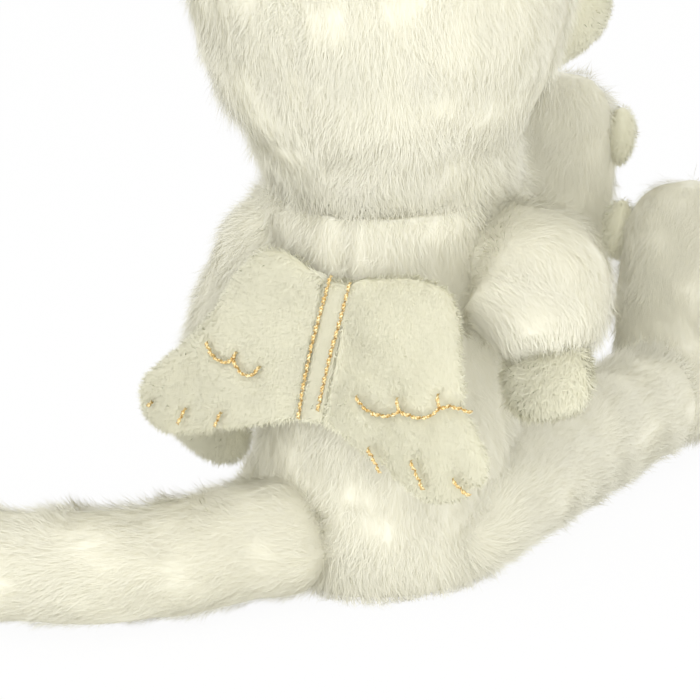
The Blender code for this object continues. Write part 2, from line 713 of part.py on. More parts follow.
def make_wing(side, sign):
    """One lightly stuffed wing of two velour layers, thin along its sewn edge."""
    outline = wing_outline(side)
    count = len(outline)
    middle = (sum(p[0] for p in outline) / count, sum(p[1] for p in outline) / count)
    bm = bmesh.new()
    layers = []
    for face in (-1, 1):
        rows = []
        for share, thick in WING_PROFILE:
            lift = WING_EDGE_HALF_THICKNESS + (WING_HALF_THICKNESS - WING_EDGE_HALF_THICKNESS) * thick
            row = []
            for out, up in outline:
                p = middle[0] + (out - middle[0]) * share
                q = middle[1] + (up - middle[1]) * share
                row.append(bm.verts.new(wing_point(sign, p, q, face * lift)))
            rows.append(row)
        for low, high in zip(rows, rows[1:]):
            bridge_rows(bm, low, high)
        close_row(bm, rows[-1], wing_point(sign, middle[0], middle[1], face * WING_HALF_THICKNESS))
        layers.append(rows[0])
    bridge_rows(bm, layers[0], layers[1])
    wing = add_object("wing_" + side, bm, "cream_velour")
    middle_height = 0.5 * (WING_TOP + WING_BOTTOM)
    root = Vector((sign * (BAND_HALF_WIDTH + GAP), wing_root(middle_height), middle_height))
    carry(add_pivot("wing_pivot_" + side, root), wing)


def make_wing_band():
    """The band down the back that both wings are sewn to."""
    half = BAND_HALF_WIDTH - GAP / 2.0
    bm = bmesh.new()
    rows = []
    for i in range(BAND_STEPS + 1):
        z = WING_BOTTOM + (WING_TOP - WING_BOTTOM) * i / BAND_STEPS
        front = torso_back(z) + 2 * GAP
        rear = wing_root(z) + BAND_HALF_THICKNESS
        lean = wing_tilt(z)
        corners = ((lean - half, front), (lean + half, front), (lean + half, rear), (lean - half, rear))
        rows.append([bm.verts.new((x, y, z)) for x, y in corners])
    for low, high in zip(rows, rows[1:]):
        bridge_rows(bm, low, high)
    bm.faces.new(rows[0])
    bm.faces.new(rows[-1])
    add_object("wing_band", bm, "cream_velour")


def main():
    """Build every piece."""
    clear_scene()
    make_torso(make_tail_ball())
    torso_cutter = make_torso_cutter()
    make_head()
    for side, sign in SIDES.items():
        make_arm(side, sign, torso_cutter)
        make_leg(side, sign, torso_cutter)
        make_wing(side, sign)
    make_wing_band()
    make_tail()


main()
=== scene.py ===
"""Looks of a stuffed monkey: long woolly fur, velour wings, hands and face, and gold yarn stitches."""

import math

import bmesh
import bpy
import numpy as np
from mathutils import Matrix, Vector, noise


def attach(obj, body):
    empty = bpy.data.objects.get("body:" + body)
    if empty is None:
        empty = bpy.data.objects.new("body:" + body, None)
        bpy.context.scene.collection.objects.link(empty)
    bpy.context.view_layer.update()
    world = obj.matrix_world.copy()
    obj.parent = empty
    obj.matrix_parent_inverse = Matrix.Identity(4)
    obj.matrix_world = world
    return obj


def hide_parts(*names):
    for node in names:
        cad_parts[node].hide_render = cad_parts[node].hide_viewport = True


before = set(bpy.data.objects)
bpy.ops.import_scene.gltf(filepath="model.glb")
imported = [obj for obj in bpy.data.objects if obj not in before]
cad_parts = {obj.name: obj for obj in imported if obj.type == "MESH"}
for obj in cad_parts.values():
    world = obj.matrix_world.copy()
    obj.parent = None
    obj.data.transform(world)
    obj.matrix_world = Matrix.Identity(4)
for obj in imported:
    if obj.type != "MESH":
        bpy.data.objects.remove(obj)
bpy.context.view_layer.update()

bl_info = {
    "name": "Stuffed monkey",
    "version": (1, 0, 0),
    "blender": (4, 5, 0),
    "location": "3D View > Sidebar > Toy",
    "description": "Dresses a sitting stuffed monkey in fur, velour and gold stitches",
    "category": "Object",
}

SIDES = {"left": 1, "right": -1}
UP = np.array((0.0, 0.0, 1.0))
BACK = np.array((0.0, 1.0, 0.0))
FLOOR_CLEARANCE = 0.0003

# Torso, in metres
TORSO_HEIGHT = 0.107
SEAT_RADIUS = 0.029
BELLY_LEVEL = 0.028
BELLY_HALF_SIZES = (0.036, 0.0405)
NECK_HALF_SIZES = (0.033, 0.034)
TORSO_LEAN = 0.004
TORSO_SEAM_PLACE = -0.001
TORSO_SEAM_WIDTH = 0.004
TORSO_SEAM_DEPTH = 0.0016
TORSO_SEAM_BOTTOM = 0.055
TORSO_NECK_SWELL = 0.0016
CAP_SHARES = np.array((0.3, 0.6, 0.85, 0.95))

# Head
HEAD_BASE = np.array((0.0, -0.004, 0.1074))
HEAD_CENTRE = np.array((0.0, 0.004, 0.164))
HEAD_RADIUS = 0.0505
HEAD_NECK_RADIUS = 0.0335
HEAD_SEAM_WIDTH = 0.0032
HEAD_SEAM_DEPTH = 0.0016
HEAD_LEDGE_LEVEL = 0.129
HEAD_LEDGE_REACH = 0.016
HEAD_LEDGE_SWELL = 0.003
HEAD_HEM_HEIGHT = 0.014
PATCH_OVERLAP = 0.002
MUZZLE_CENTRE = HEAD_CENTRE + np.array((0.0, -0.049, -0.014))
MUZZLE_SIZE = np.array((0.044, 0.027, 0.026))
FACE_CENTRE = HEAD_CENTRE + np.array((0.0, -0.033, 0.02))
FACE_SIZE = np.array((0.031, 0.019, 0.025))
NOSE_CENTRE = MUZZLE_CENTRE + np.array((0.0, -0.024, 0.012))
NOSE_SIZE = np.array((0.0085, 0.005, 0.0055))
EYE_APART = 0.026
EYE_RISE = 0.0035
EYE_RADIUS = 0.0055
EYE_DEPTH = 0.004
EYE_STEM_RADIUS = 0.0018
EYE_STEM_FROM_HEAD = 0.0415
MOUTH_LINES = (((0.0, 0.005), (0.0, -0.0075)),
               ((-0.0185, -0.0035), (-0.0135, -0.0075), (-0.007, -0.0092), (0.0, -0.0075), (0.007, -0.0092),
                (0.0135, -0.0075), (0.0185, -0.0035)))
EAR_CENTRE = np.array((0.053, 0.004, 0.193))
EAR_SIZE = np.array((0.017, 0.005, 0.017))
EAR_LINING_SIZE = np.array((0.0125, 0.003, 0.0125))

# Arms and hands
ARM_PATH = {
    "left": ((0.023, 0.002, 0.0935), (0.0345, 0.0, 0.0915), (0.055, -0.0085, 0.036)),
    "right": ((-0.027, 0.002, 0.093), (-0.044, 0.001, 0.092), (-0.0495, 0.011, 0.074)),
}
ARM_RADII = {"left": (0.011, 0.016, 0.0125), "right": (0.011, 0.022, 0.015)}
WRIST = {"left": (0.05729, -0.00942, 0.03009), "right": (-0.05157, 0.01391, 0.06869)}
HAND_DOWN = {"left": (0.3571, -0.1439, -0.9229), "right": (-0.3232, 0.4546, -0.83)}
HAND_HALF_WIDTH = 0.0115
HAND_HALF_THICKNESS = 0.006
HAND_ROWS = ((-0.0055, 0.72, 0.38), (-0.0042, 0.9, 0.71), (-0.0015, 1.0, 0.96), (0.0031, 1.05, 1.0),
             (0.008, 1.0, 0.92), (0.0111, 0.78, 0.66))
HAND_END = 0.0123

# Legs and feet
LEG_PATH = {
    "left": ((0.027, 0.001, 0.0186), (0.0245, -0.02, 0.0205), (0.017, -0.066, 0.0285),
             (0.008, -0.127, 0.039)),
    "right": ((-0.027, 0.001, 0.0186), (-0.0282, -0.02, 0.0186), (-0.032, -0.055, 0.0186),
              (-0.0405, -0.1, 0.0186)),
}
LEG_RADII = (0.0165, 0.0182, 0.0182, 0.017)
ANKLE = {"left": (0.00665, -0.13617, 0.04058), "right": (-0.04224, -0.10924, 0.0186)}
ANKLE_RADIUS = 0.015
ANKLE_HALF_WIDTH = 0.016
FOOT_TILT = {"left": math.radians(3.0), "right": math.radians(18.0)}
FOOT_LENGTH = 0.065
FOOT_HALF_WIDTH = 0.0215
FOOT_HALF_THICKNESS = 0.013
FOOT_ROWS = ((0.0, 0.78, 0.5), (0.2, 0.9, 0.58), (0.45, 0.97, 0.95), (0.7, 1.0, 0.92), (0.87, 0.84, 0.76),
             (0.96, 0.54, 0.5))
SOLE_SIZE = np.array((0.0135, 0.004, 0.03))
TOE_SIZE = np.array((0.005, 0.005, 0.0095))
TOE_UP_FOOT = 0.046
FOOT_VOXEL = 0.0017

# Tail
TAIL_LEVEL = 0.0178
TAIL_PATH = ((0.014, 0.0365), (0.022, 0.045), (0.033, 0.06), (0.049, 0.0745), (0.074, 0.084), (0.1, 0.088),
             (0.126, 0.086), (0.149, 0.076), (0.165, 0.058))
TAIL_RADII = (0.0172, 0.0145)

# Wings: half outline as (out, up), from the top of the root round to its bottom
WING_TOP = 0.091
WING_BOTTOM = 0.055
WING_MIDDLE = 0.5 * (WING_TOP + WING_BOTTOM)
WING_STAND_OFF = 0.0034
WING_OUTLINE = ((0.0068, 0.0934), (0.0153, 0.0943), (0.0238, 0.0921), (0.028, 0.0862), (0.0306, 0.0785),
                (0.0332, 0.07), (0.0374, 0.0615), (0.0425, 0.0547), (0.0455, 0.0479), (0.0434, 0.042),
                (0.0383, 0.039), (0.0323, 0.0382), (0.0264, 0.0403), (0.0196, 0.0437), (0.0119, 0.0484),
                (0.0051, 0.0526))
WING_HALF_THICKNESS = 0.0028
WING_WRAP = (2.0, 7.0)
WING_TILT = math.radians(8.0)
WING_RAISE = {"left": math.radians(9.0), "right": 0.0}
BAND_HALF_WIDTH = 0.003
BAND_RISE = 0.0019
WING_EDGE = 0.0005
WING_SEAM_REACH = 0.009
CLOTH_GAP = 0.0004

# Stuffing and pile
LUMP_SIZES = (0.022, 0.009)
VELOUR_LUMPS = 0.0004
COMB_DRIFT = 0.75
COMB_DRIFT_SIZE = 0.011
PILE_SOFTNESS = 0.94
STRAND_WIDEST = 0.45
STRAND_SHAPES = ((0.30, 3.0), (0.42, -5.0), (0.22, 8.0), (0.5, -8.0), (0.12, 0.0))
PILE_NUMBERS = ("Length", "Width", "Density", "Lift", "Lean", "Clump Size", "Clump Pull", "Tuft Tone",
                "Jitter")
PILE_INPUTS = (*((name, "NodeSocketFloat") for name in PILE_NUMBERS), ("Seed", "NodeSocketInt"),
               ("Show Skin", "NodeSocketBool"), ("Material", "NodeSocketMaterial"))

# Stage
LAMP_SIZE = 0.9
FLOOR_GLOW = 0.95

# Stitched lines: on the band as (aside, up), and on each wing as (out, up)
BAND_LINES = (((0.0018, 0.0932), (0.0026, 0.0842), (0.0033, 0.0748), (0.0034, 0.0642), (0.003, 0.055)),
              ((-0.0038, 0.0922), (-0.0032, 0.0824), (-0.0024, 0.0744), (-0.0021, 0.0651), (-0.0019, 0.0579)))
WING_LINES = {
    "left": (((0.031, 0.0704), (0.0293, 0.0682), (0.0266, 0.0666), (0.023, 0.0663), (0.0214, 0.0677)),
             ((0.0214, 0.0677), (0.0204, 0.0661), (0.0178, 0.0644), (0.0155, 0.0641), (0.0137, 0.0655),
              (0.0132, 0.0671)),
             ((0.0214, 0.0677), (0.021, 0.0695)), ((0.0326, 0.0523), (0.0341, 0.0476)),
             ((0.0218, 0.0533), (0.0228, 0.0491)), ((0.0435, 0.0517), (0.0445, 0.0504))),
    "right": (((0.0083, 0.0639), (0.0114, 0.0609), (0.0151, 0.0598), (0.0179, 0.0597), (0.0207, 0.0613)),
              ((0.0207, 0.0613), (0.0229, 0.0608), (0.0257, 0.0601), (0.0291, 0.0612), (0.0306, 0.0631)),
              ((0.0306, 0.0631), (0.0324, 0.064), (0.0356, 0.0635), (0.039, 0.0628)),
              ((0.0191, 0.0647), (0.0207, 0.0613)), ((0.0292, 0.0667), (0.0306, 0.0631)),
              ((0.0143, 0.051), (0.0166, 0.0482), (0.0192, 0.0448)),
              ((0.0263, 0.0492), (0.0286, 0.0458), (0.0313, 0.0419)),
              ((0.038, 0.0458), (0.0409, 0.043), (0.0435, 0.0418))),
}


class FurSettings(bpy.types.PropertyGroup):
    """The long fur of the head, body, limbs and tail."""

    length: bpy.props.FloatProperty(name="Length", description="Length of a strand", default=0.0062,
                                    unit="LENGTH")
    width: bpy.props.FloatProperty(name="Width", description="Width of a strand at its middle",
                                   default=0.00012, unit="LENGTH")
    density: bpy.props.FloatProperty(name="Density", description="Strands on a square metre of skin",
                                     default=5.0e6)
    inset: bpy.props.FloatProperty(name="Skin depth", description="How deep the backing lies below the pile",
                                   default=0.0018, unit="LENGTH")
    lumps: bpy.props.FloatProperty(name="Lumps", description="How far the stuffing swells and dents the skin",
                                   default=0.0011, unit="LENGTH")
    seed: bpy.props.IntProperty(name="Seed", description="Seed of the strands' places", default=7)
    tip: bpy.props.FloatVectorProperty(name="Tip", description="Colour at the tips", subtype="COLOR",
                                       default=(0.966, 0.964, 0.966))
    middle: bpy.props.FloatVectorProperty(name="Middle", description="Colour half way down", subtype="COLOR",
                                          default=(0.96, 0.955, 0.955))
    root: bpy.props.FloatVectorProperty(name="Root", description="Colour at the backing", subtype="COLOR",
                                        default=(0.94, 0.885, 0.82))


class VelourSettings(bpy.types.PropertyGroup):
    """The short pile of the wings, hands, face and soles."""

    length: bpy.props.FloatProperty(name="Length", description="Length of the pile", default=0.0024,
                                    unit="LENGTH")
    width: bpy.props.FloatProperty(name="Width", description="Width of a tuft", default=0.0002, unit="LENGTH")
    density: bpy.props.FloatProperty(name="Density", description="Tufts on a square metre of cloth",
                                     default=1.4e7)
    inset: bpy.props.FloatProperty(name="Cloth depth", description="How deep the cloth lies below the pile",
                                   default=0.0011, unit="LENGTH")
    seed: bpy.props.IntProperty(name="Seed", description="Seed of the tufts' places", default=23)
    tip: bpy.props.FloatVectorProperty(name="Tip", description="Colour at the tips", subtype="COLOR",
                                       default=(0.945, 0.935, 0.90))
    middle: bpy.props.FloatVectorProperty(name="Middle", description="Colour half way down", subtype="COLOR",
                                          default=(0.93, 0.913, 0.865))
    root: bpy.props.FloatVectorProperty(name="Root", description="Colour at the cloth", subtype="COLOR",
                                        default=(0.905, 0.85, 0.74))


class YarnSettings(bpy.types.PropertyGroup):
    """The gold yarn of the stitches."""

    step: bpy.props.FloatProperty(name="Step", description="Length of a stitch", default=0.0026,
                                  unit="LENGTH")
    thickness: bpy.props.FloatProperty(name="Thickness", description="Size of the yarn across its two plies",
                                       default=0.003, unit="LENGTH")
    proud: bpy.props.FloatProperty(name="Proud", description="Height of a stitch above its cloth",
                                   default=0.001, unit="LENGTH")
    # Shine and shade are painted glints and painted shade, strewn over the gold as grain.
    shine: bpy.props.FloatVectorProperty(name="Shine", description="Paler gold", subtype="COLOR",
                                         default=(1.0, 0.85, 0.50))
    shade: bpy.props.FloatVectorProperty(name="Shade", description="Darker gold", subtype="COLOR",
                                         default=(0.60, 0.38, 0.11))


class FaceSettings(bpy.types.PropertyGroup):
    """The eyes, and the thread of the nose and mouth."""

    eye: bpy.props.FloatVectorProperty(name="Eyes", description="Colour of the eyes", subtype="COLOR",
                                       default=(0.012, 0.010, 0.010))
    thread: bpy.props.FloatProperty(name="Thread", description="Thickness of the nose's thread",
                                    default=0.0007, unit="LENGTH")
    shine: bpy.props.FloatVectorProperty(name="Thread shine", description="Paler thread", subtype="COLOR",
                                         default=(0.50, 0.34, 0.21))
    shade: bpy.props.FloatVectorProperty(name="Thread shade", description="Darker thread", subtype="COLOR",
                                         default=(0.30, 0.18, 0.10))


class StageSettings(bpy.types.PropertyGroup):
    """The camera, floor and lamps."""

    turn: bpy.props.FloatProperty(name="Turn", subtype="ANGLE", default=math.radians(25.0),
                                  description="How far the camera stands round to the toy's right")
    rise: bpy.props.FloatProperty(name="Rise", description="How far the camera looks down",
                                  default=math.radians(20.0), subtype="ANGLE")
    distance: bpy.props.FloatProperty(name="Distance", description="From the seat to the camera",
                                      default=0.85, unit="LENGTH")
    aside: bpy.props.FloatProperty(name="Aside", description="Camera's shift to the left of the seat",
                                   default=0.009625, unit="LENGTH")
    above: bpy.props.FloatProperty(name="Above", description="Camera's shift up from the seat",
                                   default=0.0572, unit="LENGTH")
    lens: bpy.props.FloatProperty(name="Lens", description="Focal length in millimetres", default=159.0)
    key: bpy.props.FloatProperty(name="Key lamp", description="Power of the main soft lamp", default=2.8,
                                 subtype="POWER")
    fill: bpy.props.FloatProperty(name="Fill lamp", description="Power of the lamp on the other side",
                                  default=2.7, subtype="POWER")
    sky: bpy.props.FloatProperty(name="Sky", description="Level of the light from all round", default=0.95)
    floor: bpy.props.FloatVectorProperty(name="Floor", description="Colour of the floor", subtype="COLOR",
                                         default=(0.92, 0.92, 0.91))


def smooth_step(t):
    """Ease from 0 to 1 with level ends."""
    t = np.clip(t, 0.0, 1.0)
    return t * t * (3.0 - 2.0 * t)


def unit(vectors):
    """Vectors brought to length one."""
    vectors = np.asarray(vectors, float)
    return vectors / np.maximum(np.linalg.norm(vectors, axis=-1, keepdims=True), 1e-9)


def spline(points, count):
    """Points spread along a smooth curve through the given ones."""
    points = np.asarray(points, float)
    padded = np.vstack((2 * points[0] - points[1], points, 2 * points[-1] - points[-2]))
    spans = len(points) - 1
    t = np.linspace(0.0, spans, count)
    index = np.minimum(t.astype(int), spans - 1)
    u = (t - index)[:, None]
    a, b, c, d = (padded[index + k] for k in range(4))
    return 0.5 * (2 * b + (c - a) * u + (2 * a - 5 * b + 4 * c - d) * u ** 2
                  + (3 * b - a - 3 * c + d) * u ** 3)


def ring_grid(centres, tangents, reference, wide, deep, segments):
    """Rings of points round a middle line, as rows by segments."""
    tangents = unit(tangents)
    across = unit(np.cross(reference, tangents))
    along = np.cross(tangents, across)
    angle = np.linspace(0.0, 2.0 * math.pi, segments, endpoint=False)
    out = across[:, None, :] * (np.asarray(wide)[:, None] * np.cos(angle))[:, :, None]
    out = out + along[:, None, :] * (np.asarray(deep)[:, None] * np.sin(angle))[:, :, None]
    return np.asarray(centres)[:, None, :] + out


def limb_grid(path, radii, reference, rows, segments, caps):
    """A limb's rings and end points, domed at each end by a share of its radius there."""
    centres = spline(path, rows)
    radii = spline(np.asarray(radii, float)[:, None], rows)[:, 0]
    tangents = unit(np.gradient(centres, axis=0))
    steps = np.radians((80.0, 64.0, 48.0, 32.0, 16.0))
    start = [centres[0] - tangents[0] * radii[0] * caps[0] * math.sin(a) for a in steps]
    end = [centres[-1] + tangents[-1] * radii[-1] * caps[1] * math.sin(a) for a in steps[::-1]]
    poles = (centres[0] - tangents[0] * radii[0] * caps[0], centres[-1] + tangents[-1] * radii[-1] * caps[1])
    centres = np.vstack((start, centres, end))
    tangents = np.vstack(([tangents[0]] * len(start), tangents, [tangents[-1]] * len(end)))
    radii = np.concatenate((radii[0] * np.cos(steps), radii, radii[-1] * np.cos(steps[::-1])))
    return ring_grid(centres, tangents, reference, radii, radii, segments), poles


def ball_grid(centre, half_sizes, axis, reference, rows, segments):
    """An ellipsoid's rings and poles. Its last half size lies along axis."""
    axis = unit(axis)
    angle = np.linspace(-math.pi / 2.0, math.pi / 2.0, rows + 2)[1:-1]
    centres = np.asarray(centre) + axis * (half_sizes[2] * np.sin(angle))[:, None]
    tangents = np.tile(axis, (rows, 1))
    grid = ring_grid(centres, tangents, reference, half_sizes[0] * np.cos(angle),
                     half_sizes[1] * np.cos(angle), segments)
    return grid, (np.asarray(centre) - axis * half_sizes[2], np.asarray(centre) + axis * half_sizes[2])


def grid_mesh(name, grid, poles):
    """A closed mesh over rings of points, with the direction along the rings' line at each vertex."""
    rows, segments = grid.shape[:2]
    points = np.vstack((grid.reshape(-1, 3), poles[0], poles[1]))
    flow = np.gradient(grid, axis=0).reshape(-1, 3)
    flow = np.vstack((flow, grid[0].mean(0) - poles[0], poles[1] - grid[-1].mean(0)))
    faces = []
    for r in range(rows - 1):
        for s in range(segments):
            n = (s + 1) % segments
            faces.append((r * segments + s, r * segments + n, (r + 1) * segments + n, (r + 1) * segments + s))
    first, last = rows * segments, rows * segments + 1
    for s in range(segments):
        n = (s + 1) % segments
        faces.append((n, s, first))
        faces.append(((rows - 1) * segments + s, (rows - 1) * segments + n, last))
    mesh = bpy.data.meshes.new(name)
    mesh.from_pydata(points.tolist(), [], faces)
    face_outward(mesh)
    mesh.shade_smooth()
    return mesh, unit(flow)


def face_outward(mesh):
    """Turn every face of a closed mesh outwards."""
    bm = bmesh.new()
    bm.from_mesh(mesh)
    bmesh.ops.recalc_face_normals(bm, faces=bm.faces)
    bm.to_mesh(mesh)
    bm.free()


def vertex_points(mesh):
    """Positions and normals of a mesh's vertices."""
    points = np.empty(len(mesh.vertices) * 3)
    mesh.vertices.foreach_get("co", points)
    normals = np.empty(len(mesh.vertices) * 3)
    mesh.vertex_normals.foreach_get("vector", normals)
    return points.reshape(-1, 3), normals.reshape(-1, 3)


def set_points(mesh, points):
    """Move a mesh's vertices."""
    mesh.vertices.foreach_set("co", np.ascontiguousarray(points, dtype=np.float32).ravel())
    mesh.update()


def lumpy(points, size, seed):
    """Soft noise at each point, about -1 to 1, with lumps of this size."""
    shift = Vector((seed * 3.17, seed * 1.71, seed * 2.43))
    return np.array([noise.noise(Vector(p) / size + shift) for p in points])


def near(distance, width):
    """1 on a line and 0 past its width."""
    return 1.0 - smooth_step(np.abs(distance) / width)


def in_ball(points, centre, half_sizes, grow=0.0):
    """Which points lie inside an ellipsoid."""
    return (((points - centre) / (np.asarray(half_sizes) + grow)) ** 2).sum(-1) < 1.0


def set_attribute(mesh, name, kind, values):
    """Write one value a vertex."""
    attribute = mesh.attributes.new(name, kind, "POINT")
    key = "vector" if kind == "FLOAT_VECTOR" else "value"
    attribute.data.foreach_set(key, np.ascontiguousarray(values, dtype=np.float32).ravel())


def add_piece(name, mesh):
    """Put a mesh in the scene at the origin."""
    obj = bpy.data.objects.new(name, mesh)
    bpy.context.scene.collection.objects.link(obj)
    return obj


# Pile

def add_node(tree, kind, inputs=(), **settings):
    """Add a node, set its options, and link or set its inputs."""
    node = tree.nodes.new(kind)
    for key, value in settings.items():
        setattr(node, key, value)
    for key, value in inputs:
        if isinstance(value, bpy.types.NodeSocket):
            tree.links.new(value, node.inputs[key])
        else:
            node.inputs[key].default_value = value
    return node


def add_maths(tree, operation, first, second):
    """One sum on two numbers."""
    return add_node(tree, "ShaderNodeMath", ((0, first), (1, second)), operation=operation).outputs[0]


def add_scaled(tree, vector, factor):
    """A vector times a number."""
    node = add_node(tree, "ShaderNodeVectorMath", ((0, vector), ("Scale", factor)), operation="SCALE")
    return node.outputs[0]


def add_vectors(tree, operation, first, second):
    """One sum on two vectors."""
    return add_node(tree, "ShaderNodeVectorMath", ((0, first), (1, second)), operation=operation).outputs[0]


def add_attribute(tree, name, kind):
    """Values of a named attribute."""
    return add_node(tree, "GeometryNodeInputNamedAttribute", (("Name", name),), data_type=kind).outputs[0]


def add_ramp(tree, factor, *stops):
    """A colour ramp through (place, colour) stops. It starts with two, and the rest are added."""
    ramp = add_node(tree, "ShaderNodeValToRGB", (("Fac", factor),))
    elements = ramp.color_ramp.elements
    for index, (place, colour) in enumerate(stops):
        element = elements[index] if index < 2 else elements.new(place)
        element.position = place
        element.color = (*colour, 1.0)
    return ramp.outputs[0]


def new_tree(name, inputs):
    """An empty tree of geometry nodes with these inputs, and its inputs' sockets."""
    tree = bpy.data.node_groups.new(name, "GeometryNodeTree")
    for socket, kind in (("Geometry", "NodeSocketGeometry"), *inputs):
        tree.interface.new_socket(socket, in_out="INPUT", socket_type=kind)
    tree.interface.new_socket("Geometry", in_out="OUTPUT", socket_type="NodeSocketGeometry")
    return tree, tree.nodes.new("NodeGroupInput").outputs


def end_tree(tree, geometry, material):
    """Give the result its material and hand it out."""
    dressed = add_node(tree, "GeometryNodeSetMaterial", (("Geometry", geometry), ("Material", material)))
    tree.links.new(dressed.outputs[0], tree.nodes.new("NodeGroupOutput").inputs[0])


def make_strand(name, bend, sway):
    """A tapered strand of unit length that bends down and to one side, with how far along each vertex is."""
    t = STRAND_WIDEST
    middle = (sway * t * t, -bend * t * t, t)
    verts = [(0.0, 0.0, 0.0), (middle[0] - 0.5, *middle[1:]), (middle[0] + 0.5, *middle[1:]),
             (sway, -bend, 1.0)]
    mesh = bpy.data.meshes.new(name)
    mesh.from_pydata(verts, [], [(0, 1, 2), (1, 3, 2)])
    set_attribute(mesh, "along", "FLOAT", [0.0, t, t, 1.0])
    return bpy.data.objects.new(name, mesh)


def build_pile_tree(strands):
    """Geometry nodes that plant strands all over a skin, leaning with its comb and drawn into tufts."""
    tree, given = new_tree("Pile", PILE_INPUTS)

    def spread(low, high, offset):
        seed = add_maths(tree, "ADD", given["Seed"], offset)
        node = add_node(tree, "FunctionNodeRandomValue", ((2, low), (3, high), ("Seed", seed)),
                        data_type="FLOAT")
        return node.outputs[1]

    def spread_vector(offset):
        seed = add_maths(tree, "ADD", given["Seed"], offset)
        node = add_node(tree, "FunctionNodeRandomValue",
                        ((0, (-1.0, -1.0, -1.0)), (1, (1.0, 1.0, 1.0)), ("Seed", seed)),
                        data_type="FLOAT_VECTOR")
        return node.outputs[0]

    density = add_maths(tree, "MULTIPLY", given["Density"], add_attribute(tree, "thick", "FLOAT"))
    plant = add_node(tree, "GeometryNodeDistributePointsOnFaces",
                     (("Mesh", given["Geometry"]), ("Density", density), ("Seed", given["Seed"])),
                     distribute_method="RANDOM")
    normal = plant.outputs["Normal"]
    kept = add_node(tree, "GeometryNodeStoreNamedAttribute",
                    (("Geometry", plant.outputs["Points"]), ("Name", "skin_normal"), ("Value", normal)),
                    data_type="FLOAT_VECTOR", domain="POINT")
    position = tree.nodes.new("GeometryNodeInputPosition").outputs[0]
    scale = add_maths(tree, "DIVIDE", 1.0, given["Clump Size"])
    cell = add_node(tree, "ShaderNodeTexVoronoi", (("Vector", position), ("Scale", scale)),
                    voronoi_dimensions="3D", feature="F1")
    own = add_node(tree, "ShaderNodeSeparateXYZ", (("Vector", cell.outputs["Color"]),)).outputs["X"]
    tuft = add_maths(tree, "MULTIPLY", add_maths(tree, "SUBTRACT", own, 0.5), given["Tuft Tone"])
    tone = add_maths(tree, "ADD", add_attribute(tree, "tone", "FLOAT"), spread(-0.16, 0.16, 11.0))
    tone = add_maths(tree, "ADD", tone, tuft)
    toned = add_node(tree, "GeometryNodeStoreNamedAttribute",
                     (("Geometry", kept.outputs["Geometry"]), ("Name", "tone"), ("Value", tone)),
                     data_type="FLOAT", domain="POINT")

    pull = add_vectors(tree, "SUBTRACT", cell.outputs["Position"], position)
    pull = add_scaled(tree, pull, add_maths(tree, "DIVIDE", given["Clump Pull"], given["Clump Size"]))

    stored = add_attribute(tree, "skin_normal", "FLOAT_VECTOR")
    comb = add_attribute(tree, "comb", "FLOAT_VECTOR")
    stray = add_maths(tree, "MULTIPLY", add_maths(tree, "POWER", spread(0.0, 1.0, 29.0), 5.0), 1.1)
    lift = add_maths(tree, "MULTIPLY", given["Lift"], add_maths(tree, "ADD", stray, 0.7))
    aim = add_vectors(tree, "ADD", add_scaled(tree, stored, lift),
                      add_scaled(tree, comb, given["Lean"]))
    aim = add_vectors(tree, "ADD", aim, pull)
    aim = add_vectors(tree, "ADD", aim, add_scaled(tree, spread_vector(3.0), given["Jitter"]))
    turned = add_node(tree, "FunctionNodeAlignRotationToVector", (("Vector", aim),), axis="Z")
    facing = add_vectors(tree, "ADD", stored, add_scaled(tree, spread_vector(5.0), 0.15))
    turned = add_node(tree, "FunctionNodeAlignRotationToVector",
                      (("Rotation", turned.outputs[0]), ("Vector", facing)), axis="Y", pivot_axis="Z")

    reach = add_maths(tree, "MULTIPLY", given["Length"], add_attribute(tree, "pile", "FLOAT"))
    reach = add_maths(tree, "MULTIPLY", reach, spread(0.7, 1.12, 17.0))
    size = add_node(tree, "ShaderNodeCombineXYZ", (("X", given["Width"]), ("Y", reach), ("Z", reach)))

    choice = tree.nodes.new("GeometryNodeJoinGeometry")
    for strand in strands:
        info = add_node(tree, "GeometryNodeObjectInfo", (("Object", strand), ("As Instance", True)))
        tree.links.new(info.outputs["Geometry"], choice.inputs[0])
    pick = add_node(tree, "FunctionNodeRandomValue",
                    ((4, 0), (5, len(strands) - 1), ("Seed", given["Seed"])), data_type="INT")
    planted = add_node(tree, "GeometryNodeInstanceOnPoints",
                       (("Points", toned.outputs["Geometry"]), ("Instance", choice.outputs[0]),
                        ("Pick Instance", True), ("Instance Index", pick.outputs[2]),
                        ("Rotation", turned.outputs[0]), ("Scale", size.outputs[0])))
    grown = add_node(tree, "GeometryNodeRealizeInstances", (("Geometry", planted.outputs[0]),))
    skin = add_node(tree, "GeometryNodeSwitch", (("Switch", given["Show Skin"]), ("True", given["Geometry"])),
                    input_type="GEOMETRY")
    whole = tree.nodes.new("GeometryNodeJoinGeometry")
    tree.links.new(skin.outputs[0], whole.inputs[0])
    tree.links.new(grown.outputs[0], whole.inputs[0])
    end_tree(tree, whole.outputs[0], given["Material"])
    return tree


def pile_tree():
    """The pile's tree, made once with its strands."""
    if "Pile" in bpy.data.node_groups:
        return bpy.data.node_groups["Pile"]
    return build_pile_tree([make_strand("strand_%d" % i, *shape) for i, shape in enumerate(STRAND_SHAPES)])


def run_nodes(obj, tree, values):
    """Run a tree on an object with these values and turn the result into its plain mesh."""
    modifier = obj.modifiers.new(tree.name, "NODES")
    modifier.node_group = tree
    for item in tree.interface.items_tree:
        if item.in_out == "INPUT" and item.name in values:
            modifier[item.identifier] = values[item.name]
    depsgraph = bpy.context.evaluated_depsgraph_get()
    mesh = bpy.data.meshes.new_from_object(obj.evaluated_get(depsgraph), depsgraph=depsgraph)
    obj.modifiers.clear()
    before = obj.data
    obj.data = mesh
    bpy.data.meshes.remove(before)
    if len(mesh.polygons) == 0:
        raise RuntimeError(obj.name + " came out empty")


